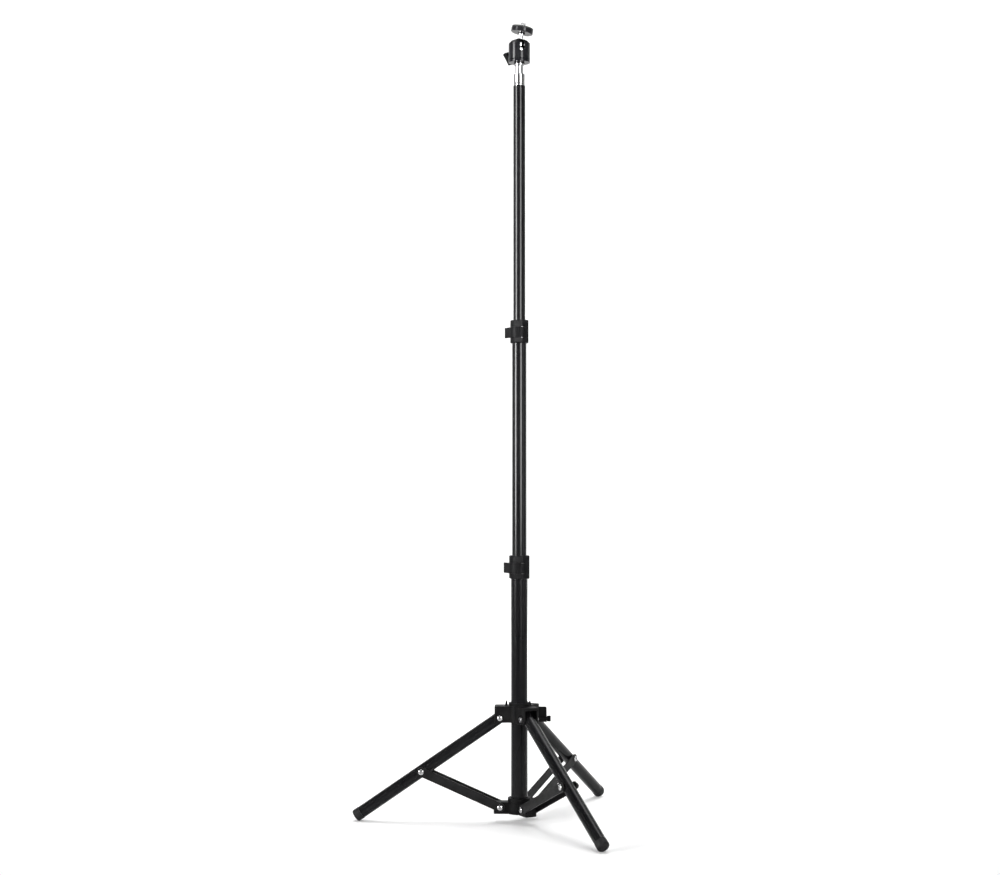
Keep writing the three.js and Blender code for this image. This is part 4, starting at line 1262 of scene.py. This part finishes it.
pad_low = platform_top + FIT
pad_high = pad_low + PAD
rib_step = (PAD_R - screw_hole) / (2 * PAD_RIBS + 1)
pad_top = []
for i in range(PAD_RIBS):
    outer = PAD_R - rib_step * (2 * i + 1)
    pad_top += [
        (outer, pad_high),
        (outer - PAD_GROOVE_SLOPE, pad_high - PAD_GROOVE),
        (outer - rib_step + PAD_GROOVE_SLOPE, pad_high - PAD_GROOVE),
        (outer - rib_step, pad_high),
    ]
pad_profile = [(screw_hole, pad_low), (PAD_R, pad_low), (PAD_R, pad_high)] + pad_top
pad_profile.append((screw_hole, pad_high))
pad = placed(spun(eased(pad_profile, PAD_GROOVE_SLOPE, True, 2), True, HEAD_STEPS), upright_place)
finished(pad, "platform_pad", "platform", rubber)

screw_top = pad_high + CAMERA_SCREW
turns = math.ceil((screw_top - screw_low) / PITCH) + 3
tooth = [
    (CAMERA_SCREW_R - THREAD_DEPTH, 0),
    (CAMERA_SCREW_R - THREAD_DEPTH, 0.1 * PITCH),
    (CAMERA_SCREW_R, 0.45 * PITCH),
    (CAMERA_SCREW_R, 0.6 * PITCH),
    (CAMERA_SCREW_R - THREAD_DEPTH, 0.95 * PITCH),
]
thread = bmesh.new()
start = screw_low - 2 * PITCH
line = [thread.verts.new((r, 0, start + z + PITCH * i)) for i in range(turns) for r, z in tooth]
line_edges = [thread.edges.new(pair) for pair in zip(line, line[1:])]
bmesh.ops.spin(
    thread,
    geom=line + line_edges,
    cent=(0, 0, 0),
    axis=(0, 0, 1),
    dvec=(0, 0, PITCH / THREAD_STEPS),
    angle=2 * math.pi,
    steps=THREAD_STEPS,
)
bmesh.ops.remove_doubles(thread, verts=thread.verts, dist=WELD)
for height, normal in ((screw_low, (0, 0, -1)), (screw_top, (0, 0, 1))):
    cut = bmesh.ops.bisect_plane(
        thread,
        geom=thread.verts[:] + thread.edges[:] + thread.faces[:],
        plane_co=(0, 0, height),
        plane_no=normal,
        clear_outer=True,
    )["geom_cut"]
    bmesh.ops.contextual_create(
        thread, geom=[g for g in cut if isinstance(g, bmesh.types.BMEdge)]
    )
bmesh.ops.recalc_face_normals(thread, faces=thread.faces)
thread = placed(thread, upright_place)
finished(thread, "camera_screw", "platform", steel)

# ---------------------------------------------------------------- Head lock knob
# A small plastic wing knob moulded on the lock screw, with a waisted grip that stands slantwise.

KNOB_SCREW_R = 2.5 * MM
KNOB_HUB_R = 5.5 * MM
KNOB_HUB = 2.4 * MM
GRIP_HALF = 8.5 * MM
GRIP_WIDTH = 3 * MM
GRIP_WAIST = 2.4 * MM
GRIP_HEIGHT = 6.6 * MM
GRIP_SUNK = 1 * MM
GRIP_TURN = math.radians(-40)
GRIP_EASE = 1.1 * MM
HUB_EASE = 0.5 * MM
KNOB_EASE = 0.2 * MM
WAIST_STEPS = 8

hub_low = head_r + 2 * FIT
hub_high = hub_low + KNOB_HUB
waist = [
    Vector((GRIP_HALF * t, GRIP_WAIST + (GRIP_WIDTH - GRIP_WAIST) * t * t))
    for t in (i / WAIST_STEPS - 1 for i in range(2 * WAIST_STEPS + 1))
]
grip = prism(
    [Vector((p.x, -p.y)) for p in waist] + list(reversed(waist)),
    hub_high - GRIP_SUNK,
    hub_high + GRIP_HEIGHT,
)
bmesh.ops.bevel(
    grip,
    geom=[e for e in grip.edges if e.calc_face_angle(0) > CREASE],
    offset=GRIP_EASE,
    segments=4,
    profile=0.5,
    affect="EDGES",
    material=-1,
)
hub_side = [
    (0, KNOB_SCREW_TIP),
    (KNOB_SCREW_R, KNOB_SCREW_TIP),
    (KNOB_SCREW_R, hub_low),
    (KNOB_HUB_R, hub_low),
    (KNOB_HUB_R, hub_high),
    (0, hub_high),
]
knob = joined(spun(eased(hub_side, HUB_EASE)), placed(grip, turned_about_z(GRIP_TURN)))
finished(along_knob(knob), "head_lock_knob", "head_knob", plastic, KNOB_EASE)

# ---------------------------------------------------------------- Final update
# The view layer is brought up to date.

bpy.context.view_layer.update()
